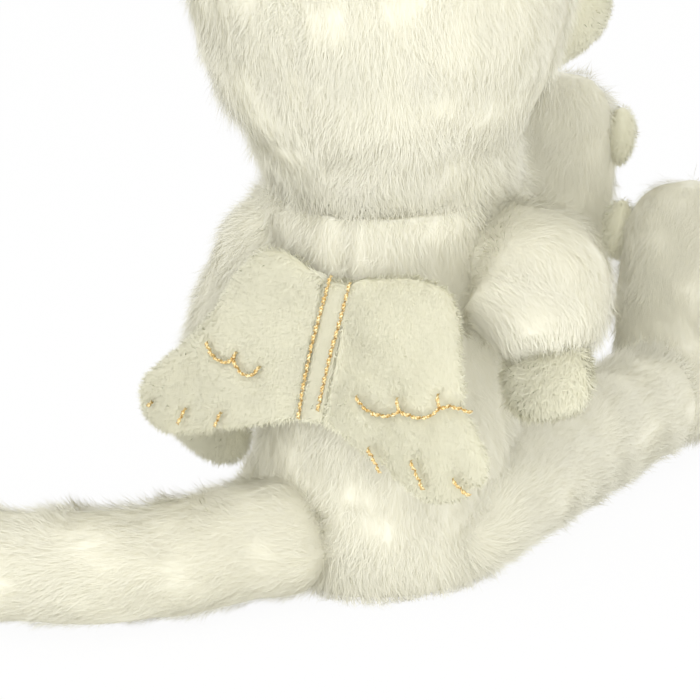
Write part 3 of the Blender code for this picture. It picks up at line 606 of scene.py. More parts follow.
def grow_pile(obj, values, softness):
    """Grow a pile on a prepared skin and turn the result into a plain mesh."""
    run_nodes(obj, pile_tree(), values)
    lay_pile(obj.data, softness)


def read_attribute(mesh, name, size):
    """Values of an attribute, one row a vertex, or zeros where there are none."""
    values = np.zeros(len(mesh.vertices) * size)
    attribute = mesh.attributes.get(name)
    if attribute is not None:
        attribute.data.foreach_get("vector" if size == 3 else "value", values)
    return values.reshape(-1, size)


def lay_pile(mesh, softness):
    """Keep a grown pile off the floor, shade it with its skin, and map tone and place along each strand."""
    points, normals = vertex_points(mesh)
    tone = read_attribute(mesh, "tone", 1)[:, 0]
    along = read_attribute(mesh, "along", 1)[:, 0]
    skin = read_attribute(mesh, "skin_normal", 3)
    points[:, 2] = np.maximum(points[:, 2], FLOOR_CLEARANCE)
    set_points(mesh, points)
    on_strand = np.linalg.norm(skin, axis=1) > 0.5
    normals[on_strand] = unit(normals[on_strand] * (1.0 - softness) + skin[on_strand] * softness)
    loops = np.empty(len(mesh.loops), dtype=np.int32)
    mesh.loops.foreach_get("vertex_index", loops)
    for layer in list(mesh.uv_layers):
        mesh.uv_layers.remove(layer)
    layer = mesh.uv_layers.new(name="OFBake")
    place = np.stack((np.clip(tone, 0.02, 0.98), np.clip(along, 0.02, 0.98)), axis=1)
    layer.data.foreach_set("uv", np.ascontiguousarray(place[loops], dtype=np.float32).ravel())
    for name in ("tone", "along", "skin_normal", "comb", "pile", "thick"):
        attribute = mesh.attributes.get(name)
        if attribute is not None:
            mesh.attributes.remove(attribute)
    mesh.normals_split_custom_set_from_vertices(normals.tolist())


# Materials

def new_material(name):
    """An empty material with nodes, its tree and its main shader."""
    material = bpy.data.materials.new(name)
    material.use_nodes = True
    return material, material.node_tree, material.node_tree.nodes["Principled BSDF"]


def make_pile_material(name, settings, roughness, sheen):
    """Pile that runs from its root's colour to its tip's, warmer where its tone is low."""
    if name in bpy.data.materials:
        return bpy.data.materials[name]
    material, tree, shader = new_material(name)
    shader.inputs["Roughness"].default_value = roughness
    shader.inputs["Sheen Weight"].default_value = sheen
    shader.inputs["Specular IOR Level"].default_value = 0.2
    place = add_node(tree, "ShaderNodeUVMap", uv_map="OFBake")
    parts = add_node(tree, "ShaderNodeSeparateXYZ", (("Vector", place.outputs[0]),))
    colour = add_ramp(tree, parts.outputs["Y"], (0.0, settings.root), (1.0, settings.tip),
                      (0.42, settings.middle))
    # Low tone runs warmer. Besides random tone and the tan backing, it carries painted warm shade at the neck
    # crease and painted shade along the wings' stitched lines.
    shade = add_ramp(tree, parts.outputs["X"], (0.0, (0.91, 0.81, 0.67)), (0.5, (1.0, 1.0, 1.0)),
                     (1.0, (1.02, 1.02, 1.03)))
    mix = add_node(tree, "ShaderNodeMix", ((0, 1.0), (6, colour), (7, shade)),
                   data_type="RGBA", blend_type="MULTIPLY")
    tree.links.new(mix.outputs[2], shader.inputs["Base Color"])
    return material


def fur_material(context):
    """The long fur's finish."""
    return make_pile_material("cream_fur", context.scene.monkey_fur, 0.9, 0.4)


def velour_material(context):
    """The velour's finish."""
    return make_pile_material("cream_velour", context.scene.monkey_velour, 0.85, 0.4)


def yarn_material(name, shine, shade, metallic, roughness, scale):
    """Yarn or moulded plastic with paler and darker grain of a fixed scale. On the gold yarn this grain is
    painted glints and painted shade.
    """
    if name in bpy.data.materials:
        return bpy.data.materials[name]
    material, tree, shader = new_material(name)
    shader.inputs["Metallic"].default_value = metallic
    shader.inputs["Roughness"].default_value = roughness
    place = tree.nodes.new("ShaderNodeTexCoord")
    grain = add_node(tree, "ShaderNodeTexNoise", (("Vector", place.outputs["Object"]), ("Scale", scale),
                                                  ("Detail", 2.0)))
    colour = add_ramp(tree, grain.outputs[0], (0.36, shade), (0.62, shine))
    tree.links.new(colour, shader.inputs["Base Color"])
    return material


def eye_material(face):
    """Polished black plastic with faint cloudy depth."""
    paler = tuple(1.8 * value for value in face.eye)
    return yarn_material("black_plastic_gloss", paler, tuple(face.eye), 0.0, 0.09, 350.0)


def thread_material(face):
    """Tan thread of the nose and mouth."""
    return yarn_material("tan_thread", face.shine, face.shade, 0.0, 0.55, 2600.0)


def washer_material():
    """White moulded plastic."""
    return yarn_material("white_plastic_moulded", (0.82, 0.82, 0.80), (0.76, 0.76, 0.75), 0.0, 0.5, 500.0)


def seen_directly(tree):
    """1 for a ray from the camera or off a shiny or clear surface, and 0 for light that falls on others."""
    path = tree.nodes.new("ShaderNodeLightPath")
    seen = add_maths(tree, "MAXIMUM", path.outputs["Is Camera Ray"], path.outputs["Is Glossy Ray"])
    return add_maths(tree, "MAXIMUM", seen, path.outputs["Is Transmission Ray"])


# Skins

def prepare_skin(mesh, flow, inset, lumps, seed, dent=None, comb=None, loose=None):
    """Draw a skin in below its pile, swell it with stuffing and comb it. loose tells where pile hangs."""
    points, normals = vertex_points(mesh)
    swell = lumps * (lumpy(points, LUMP_SIZES[0], seed) + 0.5 * lumpy(points, LUMP_SIZES[1], seed + 5))
    if dent is not None:
        swell = swell - dent(points)
    points = points + normals * (swell - inset)[:, None]
    set_points(mesh, points)
    points, normals = vertex_points(mesh)
    lean = flow if comb is None else comb(points, normals)
    lean = lean - normals * (lean * normals).sum(-1, keepdims=True)
    drift = np.stack([lumpy(points, COMB_DRIFT_SIZE, seed + k) for k in (21, 22, 23)], axis=1)
    lean = unit(lean) + COMB_DRIFT * drift
    if loose is not None:
        share = loose(points)[:, None]
        lean = lean * (1.0 - share) - UP * 0.7 * share
    set_attribute(mesh, "comb", "FLOAT_VECTOR", lean)
    return points, normals


def finish_skin(mesh, pile, thick, tone):
    """Write how long, thick and pale the pile is at each vertex."""
    count = len(mesh.vertices)
    set_attribute(mesh, "pile", "FLOAT", np.broadcast_to(pile, count))
    set_attribute(mesh, "thick", "FLOAT", np.broadcast_to(thick, count))
    set_attribute(mesh, "tone", "FLOAT", np.broadcast_to(tone, count))


def fur_values(context, seed, share=1.0):
    """Settings of the pile's tree for long fur."""
    fur = context.scene.monkey_fur
    density = fur.density * share * 1.0
    return {"Length": fur.length, "Width": fur.width, "Density": density, "Lift": 0.5, "Lean": 0.9,
            "Clump Size": 0.0046, "Clump Pull": 0.2, "Tuft Tone": 0.3, "Jitter": 0.3, "Seed": fur.seed + seed,
            "Show Skin": True, "Material": fur_material(context)}


def velour_values(context, seed, longer=1.0, share=1.0):
    """Settings of the pile's tree for velour."""
    velour = context.scene.monkey_velour
    density = velour.density * share * 1.0
    return {"Length": velour.length * longer, "Width": velour.width, "Density": density, "Lift": 0.85,
            "Lean": 0.65, "Clump Size": 0.0022, "Clump Pull": 0.3, "Tuft Tone": 0.2, "Jitter": 0.4,
            "Seed": velour.seed + seed, "Show Skin": True, "Material": velour_material(context)}


def dress(obj, body, slot, fill, *nodes):
    """Hang a finished soft piece on its body in place of its plain solids."""
    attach(obj, body)
    if nodes:
        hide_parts(*nodes)


def cover(name, mesh, values, body, slot, fill, *nodes, softness=PILE_SOFTNESS):
    """Make a piece of a prepared skin, grow its pile and dress a body in it."""
    obj = add_piece(name, mesh)
    grow_pile(obj, values, softness)
    dress(obj, body, slot, fill, *nodes)


def thin_beneath(mesh, normals, tone):
    """Finish a limb's skin with shorter and thinner pile on its underside."""
    under = smooth_step((-normals[:, 2] - 0.55) / 0.3)
    finish_skin(mesh, 1.0 - 0.4 * under, 1.0 - 0.5 * under, tone)


# Forms

def torso_half_sizes(z):
    """Half widths and half depths of the torso at these heights."""
    low = np.sqrt(np.maximum(0.0, 1.0 - (1.0 - np.minimum(z, BELLY_LEVEL) / BELLY_LEVEL) ** 2))
    high = smooth_step((z - BELLY_LEVEL) / (TORSO_HEIGHT - BELLY_LEVEL))
    sizes = []
    for belly, neck in zip(BELLY_HALF_SIZES, NECK_HALF_SIZES):
        below = SEAT_RADIUS + (belly - SEAT_RADIUS) * low
        sizes.append(np.where(z < BELLY_LEVEL, below, belly + (neck - belly) * high))
    return sizes


def torso_lean(z):
    """Y of the torso's middle line, which leans forward towards the neck."""
    return -TORSO_LEAN * smooth_step(np.asarray(z, float) / TORSO_HEIGHT)


def torso_back(z):
    """Y of the torso's back on its middle plane."""
    return torso_lean(z) + torso_half_sizes(np.asarray(z, float))[1]


def torso_grid():
    """Rings of the torso with a flat seat and a flat top."""
    seat = BELLY_LEVEL * (1.0 - np.cos(np.linspace(0.0, math.pi / 2.0, 14)))
    wall = np.linspace(BELLY_LEVEL, TORSO_HEIGHT, 46)[1:]
    heights = np.concatenate((seat, wall))
    wide, deep = torso_half_sizes(heights)
    caps = len(CAP_SHARES)
    heights = np.concatenate((np.zeros(caps), heights, np.full(caps, TORSO_HEIGHT)))
    wide = np.concatenate((wide[0] * CAP_SHARES, wide, wide[-1] * CAP_SHARES[::-1]))
    deep = np.concatenate((deep[0] * CAP_SHARES, deep, deep[-1] * CAP_SHARES[::-1]))
    centres = np.stack((np.zeros_like(heights), torso_lean(heights), heights), axis=1)
    tangents = np.tile(UP, (len(heights), 1))
    return ring_grid(centres, tangents, BACK, wide, deep, 100), (centres[0], centres[-1])


def head_grid():
    """Rings of the head, from its base at the neck over the ball to the crown."""
    latitudes = np.radians(np.linspace(-48.0, 84.0, 34))
    ball = np.stack((np.full(34, HEAD_CENTRE[1]), HEAD_CENTRE[2] + HEAD_RADIUS * np.sin(latitudes),
                     HEAD_RADIUS * np.cos(latitudes)), axis=1)
    collar = 0.5 * (HEAD_BASE[1:] + ball[0, :2])
    neck = spline([(HEAD_BASE[1], HEAD_BASE[2], HEAD_NECK_RADIUS), (*collar, HEAD_NECK_RADIUS + 0.0016),
                   ball[0]], 11)
    inner = [(HEAD_BASE[1], HEAD_BASE[2], HEAD_NECK_RADIUS * share) for share in CAP_SHARES]
    profile = np.vstack((inner, neck, ball[1:]))
    centres = np.stack((np.zeros(len(profile)), profile[:, 0], profile[:, 1]), axis=1)
    grid = ring_grid(centres, np.tile(UP, (len(profile), 1)), BACK, profile[:, 2], profile[:, 2], 120)
    return grid, (HEAD_BASE, HEAD_CENTRE + UP * HEAD_RADIUS)


def arm_grid(side):
    """Rings of a sleeve from inside the shoulder to its cuff."""
    root, bend, wrist = (np.array(p) for p in ARM_PATH[side])
    t = np.linspace(0.0, 1.0, 26)
    line = root * ((1 - t) ** 2)[:, None] + bend * (2 * t * (1 - t))[:, None] + wrist * (t ** 2)[:, None]
    first, bulge, cuff = ARM_RADII[side]
    radii = first * 2 * (t - 0.5) * (t - 1) - bulge * 4 * t * (t - 1) + cuff * 2 * t * (t - 0.5)
    return limb_grid(line, radii, BACK, 40, 56, (0.3, 0.3))


def foot_mesh(name, side):
    """One foot: its upright paddle run together with the barrel of its heel."""
    ankle = np.array(ANKLE[side])
    tilt = FOOT_TILT[side]
    axis = np.array((0.0, -math.sin(tilt), math.cos(tilt)))
    rows = spline(FOOT_ROWS, 26)
    centres = ankle + axis * (FOOT_LENGTH * rows[:, :1])
    paddle = ring_grid(centres, np.tile(axis, (len(rows), 1)), BACK, FOOT_HALF_WIDTH * rows[:, 1],
                       FOOT_HALF_THICKNESS * rows[:, 2], 48)
    paddle_mesh = grid_mesh(name + "_paddle", paddle, (ankle, ankle + axis * FOOT_LENGTH))[0]
    across = np.array((1.0, 0.0, 0.0))
    shares = np.linspace(-1.0, 1.0, 15)
    swell = 1.0 - 0.28 * np.abs(shares) ** 2.6
    barrel = ring_grid(ankle + across * (ANKLE_HALF_WIDTH * shares)[:, None], np.tile(across, (15, 1)), UP,
                       ANKLE_RADIUS * swell, ANKLE_RADIUS * swell, 40)
    barrel_mesh = grid_mesh(name + "_heel", barrel, (ankle - across * ANKLE_HALF_WIDTH,
                                                     ankle + across * ANKLE_HALF_WIDTH))[0]
    bm = bmesh.new()
    bm.from_mesh(paddle_mesh)
    bm.from_mesh(barrel_mesh)
    joined = bpy.data.meshes.new(name)
    bm.to_mesh(joined)
    bm.free()
    obj = add_piece(name + "_form", joined)
    remesh = obj.modifiers.new("Join", "REMESH")
    remesh.mode = "VOXEL"
    remesh.voxel_size = FOOT_VOXEL
    soften = obj.modifiers.new("Soften", "SMOOTH")
    soften.iterations = 6
    soften.factor = 0.5
    depsgraph = bpy.context.evaluated_depsgraph_get()
    mesh = bpy.data.meshes.new_from_object(obj.evaluated_get(depsgraph), depsgraph=depsgraph)
    bpy.data.objects.remove(obj)
    for spare in (paddle_mesh, barrel_mesh, joined):
        bpy.data.meshes.remove(spare)
    mesh.shade_smooth()
    return mesh, axis


def hand_grid(side):
    """Rings of a hand from its heel in the cuff to its finger ends."""
    wrist = np.array(WRIST[side])
    down = unit(HAND_DOWN[side])
    rows = spline(HAND_ROWS, 22)
    centres = wrist + down * rows[:, :1]
    grid = ring_grid(centres, np.tile(down, (len(rows), 1)), BACK, HAND_HALF_WIDTH * rows[:, 1],
                     HAND_HALF_THICKNESS * rows[:, 2], 48)
    return grid, (wrist - down * HAND_HALF_THICKNESS, wrist + down * HAND_END)


def wing_root(z):
    """Y of the wings' straight root line at a height."""
    share = (z - WING_BOTTOM) / (WING_TOP - WING_BOTTOM)
    low = torso_back(WING_BOTTOM)
    return low + (torso_back(WING_TOP) - low) * share + WING_STAND_OFF


def wing_tilt(z):
    """X of the wings' middle line, which leans to one side."""
    return -math.tan(WING_TILT) * (z - WING_MIDDLE)


def wing_points(sign, out, z, lift):
    """Points on a wing that wraps round the back, lifted off its middle sheet."""
    share = np.clip((z - WING_BOTTOM) / (WING_TOP - WING_BOTTOM), 0.0, 1.0)
    wrap = WING_WRAP[0] + (WING_WRAP[1] - WING_WRAP[0]) * share
    y = wing_root(z) - wrap * out ** 2
    return np.stack((wing_tilt(z) + sign * (BAND_HALF_WIDTH + CLOTH_GAP + out), y + lift, z), axis=-1)


def wing_outline(side):
    """The wing's outline as (out, up), raised about the middle of its root and rounded."""
    root = np.stack((np.zeros(4), np.linspace(WING_BOTTOM, WING_TOP, 4)), axis=1)
    edge = np.array(WING_OUTLINE)
    angle = WING_RAISE[side] * smooth_step(edge[:, 0] / (0.4 * edge[:, 0].max()))
    rise = edge[:, 1] - WING_MIDDLE
    out = np.maximum(edge[:, 0] * np.cos(angle) - rise * np.sin(angle), 0.002)
    up = WING_MIDDLE + edge[:, 0] * np.sin(angle) + rise * np.cos(angle)
    return spline(np.vstack((root, np.stack((out, up), axis=1), root[:1])), 97)[:-1]


def line_distance(flat, lines):
    """How far each flat point is from the nearest of some lines."""
    least = np.full(len(flat), 1.0)
    for line in lines:
        line = np.asarray(line, float)
        for a, b in zip(line, line[1:]):
            along = np.clip((flat - a) @ (b - a) / max((b - a) @ (b - a), 1e-12), 0.0, 1.0)
            least = np.minimum(least, np.linalg.norm(flat - a - along[:, None] * (b - a), axis=1))
    return least


def sewn_down(points, side, sign):
    """1 under a wing's stitched lines and 0 away from them, on its outer layer."""
    out = sign * (points[:, 0] - wing_tilt(points[:, 2])) - BAND_HALF_WIDTH - CLOTH_GAP
    outer = points[:, 1] > wing_root(points[:, 2]) - WING_WRAP[1] * out ** 2 - 0.0005
    return near(line_distance(np.stack((out, points[:, 2]), axis=1), WING_LINES[side]), 0.0026) * outer


def wing_grid(side, sign):
    """Rings of a wing: out over its inner layer to the sewn edge and back over its outer layer."""
    outline = wing_outline(side)
    middle = outline.mean(0)
    shares = np.array((0.07, 0.18, 0.3, 0.42, 0.54, 0.65, 0.75, 0.83, 0.9, 0.95, 0.985, 1.0))
    lifts = WING_EDGE + (WING_HALF_THICKNESS - WING_EDGE) * np.sqrt(1.0 - shares ** 5)
    rows = []
    for face, order in ((-1, slice(None)), (1, slice(None, None, -1))):
        for share, lift in zip(shares[order], lifts[order]):
            flat = middle + (outline - middle) * share
            sewn = 1.0 - smooth_step(flat[:, 0] / WING_SEAM_REACH)
            rows.append(wing_points(sign, flat[:, 0], flat[:, 1], face * (lift + (BAND_RISE - lift) * sewn)))
    ends = [wing_points(sign, middle[0], middle[1], face * WING_HALF_THICKNESS) for face in (-1, 1)]
    return np.array(rows), ends


def squared(offset, half):
    """Offsets round an ellipse pushed out towards a box of the same half size."""
    return half * np.sign(offset) * np.abs(offset / half) ** 0.35


def make_velour_ball(context, name, centre, size, axis, reference, seed, body, node, bare=None):
    """A rounded velour piece that takes a plain solid's place. bare tells where it has no pile."""
    velour = context.scene.monkey_velour
    mesh, flow = grid_mesh(name, *ball_grid(centre, size, axis, reference, 30, 48))
    points = prepare_skin(mesh, -flow, velour.inset, VELOUR_LUMPS, seed)[0]
    thick = 1.0 if bare is None else np.where(bare(points), 0.0, 1.0)
    finish_skin(mesh, 1.0, thick, 0.48)
    cover(name, mesh, velour_values(context, seed, 1.0, 0.5), body, "cream_velour", 0.6, node)


# Stitches

def make_stitch():
    """One stitch of two-ply twisted yarn, of unit length, whose ends dive into the cloth."""
    rings, sides, turns = 11, 6, 1.15
    verts = []
    faces = []
    for ply in (0.0, math.pi):
        first = len(verts)
        for r in range(rings):
            t = r / (rings - 1)
            turn = ply + 2.0 * math.pi * turns * t
            taper = 0.55 + 0.45 * math.sin(math.pi * t)
            rise = -0.34 * (2.0 * t - 1.0) ** 4
            centre = Vector((t - 0.5, 0.085 * math.cos(turn), rise + 0.085 * math.sin(turn)))
            for s in range(sides):
                angle = 2.0 * math.pi * s / sides
                ring = Vector((0.0, math.cos(angle), math.sin(angle))) * 0.115 * taper
                verts.append(centre + ring)
        for r in range(rings - 1):
            for s in range(sides):
                n = (s + 1) % sides
                low, high = first + r * sides, first + (r + 1) * sides
                faces.append((low + s, high + s, high + n, low + n))
        faces.append(tuple(range(first, first + sides)))
        faces.append(tuple(range(first + rings * sides - 1, first + (rings - 1) * sides - 1, -1)))
    mesh = bpy.data.meshes.new("stitch")
    mesh.from_pydata(verts, [], faces)
    face_outward(mesh)
    mesh.shade_smooth()
    return bpy.data.objects.new("stitch", mesh)


def stitch_tree():
    """Geometry nodes that lay one stitch at each vertex, made once."""
    if "Stitches" in bpy.data.node_groups:
        return bpy.data.node_groups["Stitches"]
    tree, given = new_tree("Stitches", (("Stitch", "NodeSocketObject"), ("Thickness", "NodeSocketFloat"),
                                        ("Seed", "NodeSocketInt"), ("Material", "NodeSocketMaterial")))
    spots = add_node(tree, "GeometryNodeMeshToPoints", (("Mesh", given["Geometry"]),))
    lie = add_attribute(tree, "lie", "FLOAT_VECTOR")
    face = add_attribute(tree, "face", "FLOAT_VECTOR")
    length = add_attribute(tree, "length", "FLOAT")
    turned = add_node(tree, "FunctionNodeAlignRotationToVector", (("Vector", lie),), axis="X")
    turned = add_node(tree, "FunctionNodeAlignRotationToVector",
                      (("Rotation", turned.outputs[0]), ("Vector", face)), axis="Z", pivot_axis="X")
    vary = add_node(tree, "FunctionNodeRandomValue", ((2, 0.88), (3, 1.12), ("Seed", given["Seed"])),
                    data_type="FLOAT")
    thick = add_maths(tree, "MULTIPLY", given["Thickness"], vary.outputs[1])
    size = add_node(tree, "ShaderNodeCombineXYZ", (("X", length), ("Y", thick), ("Z", thick)))
    info = add_node(tree, "GeometryNodeObjectInfo", (("Object", given["Stitch"]), ("As Instance", True)))
    sewn = add_node(tree, "GeometryNodeInstanceOnPoints",
                    (("Points", spots.outputs[0]), ("Instance", info.outputs["Geometry"]),
                     ("Rotation", turned.outputs[0]), ("Scale", size.outputs[0])))
    whole = add_node(tree, "GeometryNodeRealizeInstances", (("Geometry", sewn.outputs[0]),))
    end_tree(tree, whole.outputs[0], given["Material"])
    return tree


def lay_stitches(points, step):
    """Middles and directions of stitches of about this step along a line of points."""
    points = np.asarray(points, float)
    lengths = np.linalg.norm(np.diff(points, axis=0), axis=1)
    total = lengths.sum()
    count = max(1, int(round(total / step)))
    marks = np.concatenate(([0.0], np.cumsum(lengths)))
    ends = np.linspace(0.0, total, count + 1)
    knots = np.stack([np.interp(ends, marks, points[:, k]) for k in range(3)], axis=1)
    return 0.5 * (knots[1:] + knots[:-1]), knots[1:] - knots[:-1]


def sew(name, lines, outward, body, seed, step, thickness, material):
    """Sew stitches along lines on a surface, as one piece on a body. outward gives the surface's normals."""
    runs = [lay_stitches(line, step) for line in lines]
    middles = np.vstack([run[0] for run in runs])
    ways = np.vstack([run[1] for run in runs])
    mesh = bpy.data.meshes.new(name)
    mesh.from_pydata(middles.tolist(), [], [])
    set_attribute(mesh, "lie", "FLOAT_VECTOR", unit(ways))
    set_attribute(mesh, "face", "FLOAT_VECTOR", outward(middles))
    set_attribute(mesh, "length", "FLOAT", np.linalg.norm(ways, axis=1) * 1.02)
    obj = add_piece(name, mesh)
    stitch = bpy.data.objects.get("stitch") or make_stitch()
    values = {"Stitch": stitch, "Thickness": thickness, "Seed": seed, "Material": material}
    run_nodes(obj, stitch_tree(), values)
    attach(obj, body)


# Operators

class MONKEY_OT_stage(bpy.types.Operator):
    """Make the floor, lamps, sky and camera"""

    bl_idname = "monkey.stage"
    bl_label = "Stage"

    def execute(self, context):
        scene = context.scene
        stage = scene.monkey_stage
        scene.view_settings.view_transform = "Standard"
        self.make_floor(stage)
        self.make_sky(scene, stage)
        turn, rise = stage.turn, stage.rise
        right = Vector((-math.cos(turn), -math.sin(turn), 0.0))
        up = Vector((math.sin(turn) * math.sin(rise), -math.cos(turn) * math.sin(rise), math.cos(rise)))
        ahead = up.cross(right)
        place = -ahead * stage.distance - right * stage.aside + up * stage.above
        self.make_camera(scene, stage, right, up, ahead, place)
        focus = Vector((0.0, 0.0, 0.09))
        key_place = -ahead * 0.75 - right * 0.3 + Vector((0, 0, 0.25))
        fill_place = -ahead * 0.8 + right * 0.3 + Vector((0, 0, 0.1))
        self.make_lamp("key_lamp", stage.key, key_place, focus, True)
        self.make_lamp("fill_lamp", stage.fill, fill_place, focus, False)
        return {"FINISHED"}

    def make_floor(self, stage):
        mesh = bpy.data.meshes.new("floor")
        mesh.from_pydata([(-3, -3, 0), (3, -3, 0), (3, 3, 0), (-3, 3, 0)], [], [(0, 1, 2, 3)])
        floor = add_piece("floor", mesh)
        material, tree, shader = new_material("floor_paper")
        shader.inputs["Base Color"].default_value = (*stage.floor, 1.0)
        shader.inputs["Roughness"].default_value = 0.9
        shader.inputs["Specular IOR Level"].default_value = 0.0
        glow = add_node(tree, "ShaderNodeEmission", (("Color", (1.0, 1.0, 1.0, 1.0)), ("Strength", 1.0)))
        seen = add_maths(tree, "MULTIPLY", seen_directly(tree), FLOOR_GLOW)
        mix = add_node(tree, "ShaderNodeMixShader",
                       ((0, seen), (1, shader.outputs[0]), (2, glow.outputs[0])))
        tree.links.new(mix.outputs[0], tree.nodes["Material Output"].inputs["Surface"])
        mesh.materials.append(material)

    def make_sky(self, scene, stage):
        world = bpy.data.worlds.new("sky")
        world.use_nodes = True
        tree = world.node_tree
        shine = tree.nodes["Background"]
        level = add_node(tree, "ShaderNodeMapRange",
                         (("Value", seen_directly(tree)), ("To Min", stage.sky), ("To Max", 1.0)))
        tree.links.new(level.outputs[0], shine.inputs["Strength"])
        shine.inputs["Color"].default_value = (1.0, 1.0, 1.0, 1.0)
        scene.world = world

    def make_camera(self, scene, stage, right, up, ahead, place):
        camera = bpy.data.cameras.new("camera")
        camera.lens = stage.lens
        camera.sensor_width = 36.0
        camera.clip_start = 0.01
        obj = bpy.data.objects.new("camera", camera)
        scene.collection.objects.link(obj)
        obj.matrix_world = Matrix((right, up, -ahead)).transposed().to_4x4()
        obj.location = place
        scene.camera = obj

    def make_lamp(self, name, power, place, focus, shadow):
        lamp = bpy.data.lights.new(name, "AREA")
        lamp.energy = power
        lamp.size = LAMP_SIZE
        lamp.use_shadow = shadow
        obj = bpy.data.objects.new(name, lamp)
        bpy.context.scene.collection.objects.link(obj)
        obj.location = place
        obj.rotation_euler = (focus - place).to_track_quat("-Z", "Y").to_euler()


class MONKEY_OT_torso(bpy.types.Operator):
    """Make the torso's fur, thinner in tan streaks between the neck and the wings"""

    bl_idname = "monkey.torso"
    bl_label = "Torso"

    def execute(self, context):
        fur = context.scene.monkey_fur
        mesh, flow = grid_mesh("torso_fur", *torso_grid())

        def dent(points):
            behind = points[:, 1] > 0.0
            swell = TORSO_NECK_SWELL * smooth_step((points[:, 2] - 0.092) / 0.012)
            seam = near(points[:, 0] - TORSO_SEAM_PLACE, TORSO_SEAM_WIDTH)
            return TORSO_SEAM_DEPTH * seam * behind * (points[:, 2] > TORSO_SEAM_BOTTOM) - swell

        points, normals = prepare_skin(mesh, -flow, fur.inset, 1.4 * fur.lumps, 1, dent)
        neck = smooth_step((points[:, 2] - 0.096) / 0.01)
        streaks = np.clip(1.7 * lumpy(points * np.array((1.0, 1.0, 0.3)), 0.005, 3), 0.0, 1.0)
        behind = smooth_step((points[:, 1] - 0.012) / 0.016) * smooth_step((points[:, 2] - 0.048) / 0.02)
        pile = 1.0 - 0.1 * behind + 0.1 * neck
        pile = np.where(normals[:, 2] < -0.75, 0.4, pile)
        thick = 1.0 - 0.6 * streaks * behind
        thick = np.where(normals[:, 2] > 0.9, 0.3, thick)
        thick = np.where(normals[:, 2] < -0.9, 0.15, thick)
        # Painted warm shade: the tone drops towards the neck crease under the head. The streaks and the seam
        # line are the tan backing showing through.
        tone = 0.5 - (0.1 + 0.45 * streaks + 0.15 * neck) * behind
        tone = tone - 0.12 * near(points[:, 0] - TORSO_SEAM_PLACE, 0.006) * behind
        finish_skin(mesh, pile, thick, tone)
        values = fur_values(context, 1)
        values.update({"Clump Pull": 0.4, "Jitter": 0.4})
        cover("torso_fur", mesh, values, "torso", "cream_fur", 0.7, "torso_skin", "torso_filling",
              "pellet_bag", softness=0.75)
        return {"FINISHED"}


class MONKEY_OT_head(bpy.types.Operator):
    """Make the head's fur in two lots, with the seams down its back and sides"""

    bl_idname = "monkey.head"
    bl_label = "Head"

    def execute(self, context):
        fur = context.scene.monkey_fur
        lots = 2
        for lot in range(lots):
            name = "head_fur_%d" % (lot + 1)
            mesh, flow = grid_mesh(name, *head_grid())

            def seam(points):
                back = near(points[:, 0] - 0.001, HEAD_SEAM_WIDTH) * (points[:, 1] > 0.0)
                side = near(points[:, 1] - 0.002, HEAD_SEAM_WIDTH) * (np.abs(points[:, 0]) > 0.02)
                return np.maximum(back, side) * smooth_step((points[:, 2] - 0.128) / 0.012)

            def ledge(points):
                return near(points[:, 2] - HEAD_LEDGE_LEVEL, HEAD_LEDGE_REACH)

            def rim(points):
                return near(points[:, 2] - HEAD_BASE[2], 0.004)

            def dent(points):
                return HEAD_SEAM_DEPTH * seam(points) - HEAD_LEDGE_SWELL * ledge(points)

            points, normals = prepare_skin(mesh, -flow, fur.inset, fur.lumps, 2, dent, None, rim)
            line = seam(points)
            hidden = in_ball(points, MUZZLE_CENTRE, MUZZLE_SIZE, -PATCH_OVERLAP)
            hidden |= in_ball(points, FACE_CENTRE, FACE_SIZE, -PATCH_OVERLAP)
            hem = 1.0 - smooth_step((points[:, 2] - HEAD_BASE[2]) / HEAD_HEM_HEIGHT)
            thick = np.where(hidden | (normals[:, 2] < -0.95), 0.1, 1.0 + 0.8 * hem) * (1.0 - 0.25 * line)
            ragged = lumpy(points, 0.007, 9)
            pile = 1.0 - 0.3 * line + 0.3 * ledge(points) + (0.6 + 0.6 * ragged) * hem
            # Painted warm shade: the tone drops on the hem round the neck crease. The lower tone on the seam
            # lines is the head's own seams.
            finish_skin(mesh, pile, thick, 0.55 - 0.1 * line - 0.15 * hem)
            values = fur_values(context, 2 + lot, 1.0 / lots)
            values["Show Skin"] = lot == 0
            nodes = ("head_skin", "head_filling") if lot == 0 else ()
            cover(name, mesh, values, "head", "cream_fur", 0.8, *nodes)
        return {"FINISHED"}


class MONKEY_OT_arms(bpy.types.Operator):
    """Make both sleeves and the velour hands sewn into them"""

    bl_idname = "monkey.arms"
    bl_label = "Arms"

    def execute(self, context):
        fur = context.scene.monkey_fur
        for side, sign in SIDES.items():
            mesh, flow = grid_mesh("arm_fur_" + side, *arm_grid(side))
            prepare_skin(mesh, flow, fur.inset * 0.9, fur.lumps, 4 + sign)
            finish_skin(mesh, 1.0, 1.0, 0.58)
            cover("arm_fur_" + side, mesh, fur_values(context, 5 + sign), "arm_" + side, "cream_fur", 0.7,
                  "arm_skin_" + side, "arm_filling_" + side)
            self.make_hand(context, side, sign)
        return {"FINISHED"}

    def make_hand(self, context, side, sign):
        velour = context.scene.monkey_velour
        mesh, flow = grid_mesh("hand_velour_" + side, *hand_grid(side))
        prepare_skin(mesh, flow, velour.inset, VELOUR_LUMPS, 8 + sign)
        finish_skin(mesh, 1.3, 1.0, 0.54)
        cover("hand_velour_" + side, mesh, velour_values(context, 8 + sign, 1.3), "hand_" + side,
              "cream_velour", 0.6, "hand_" + side)


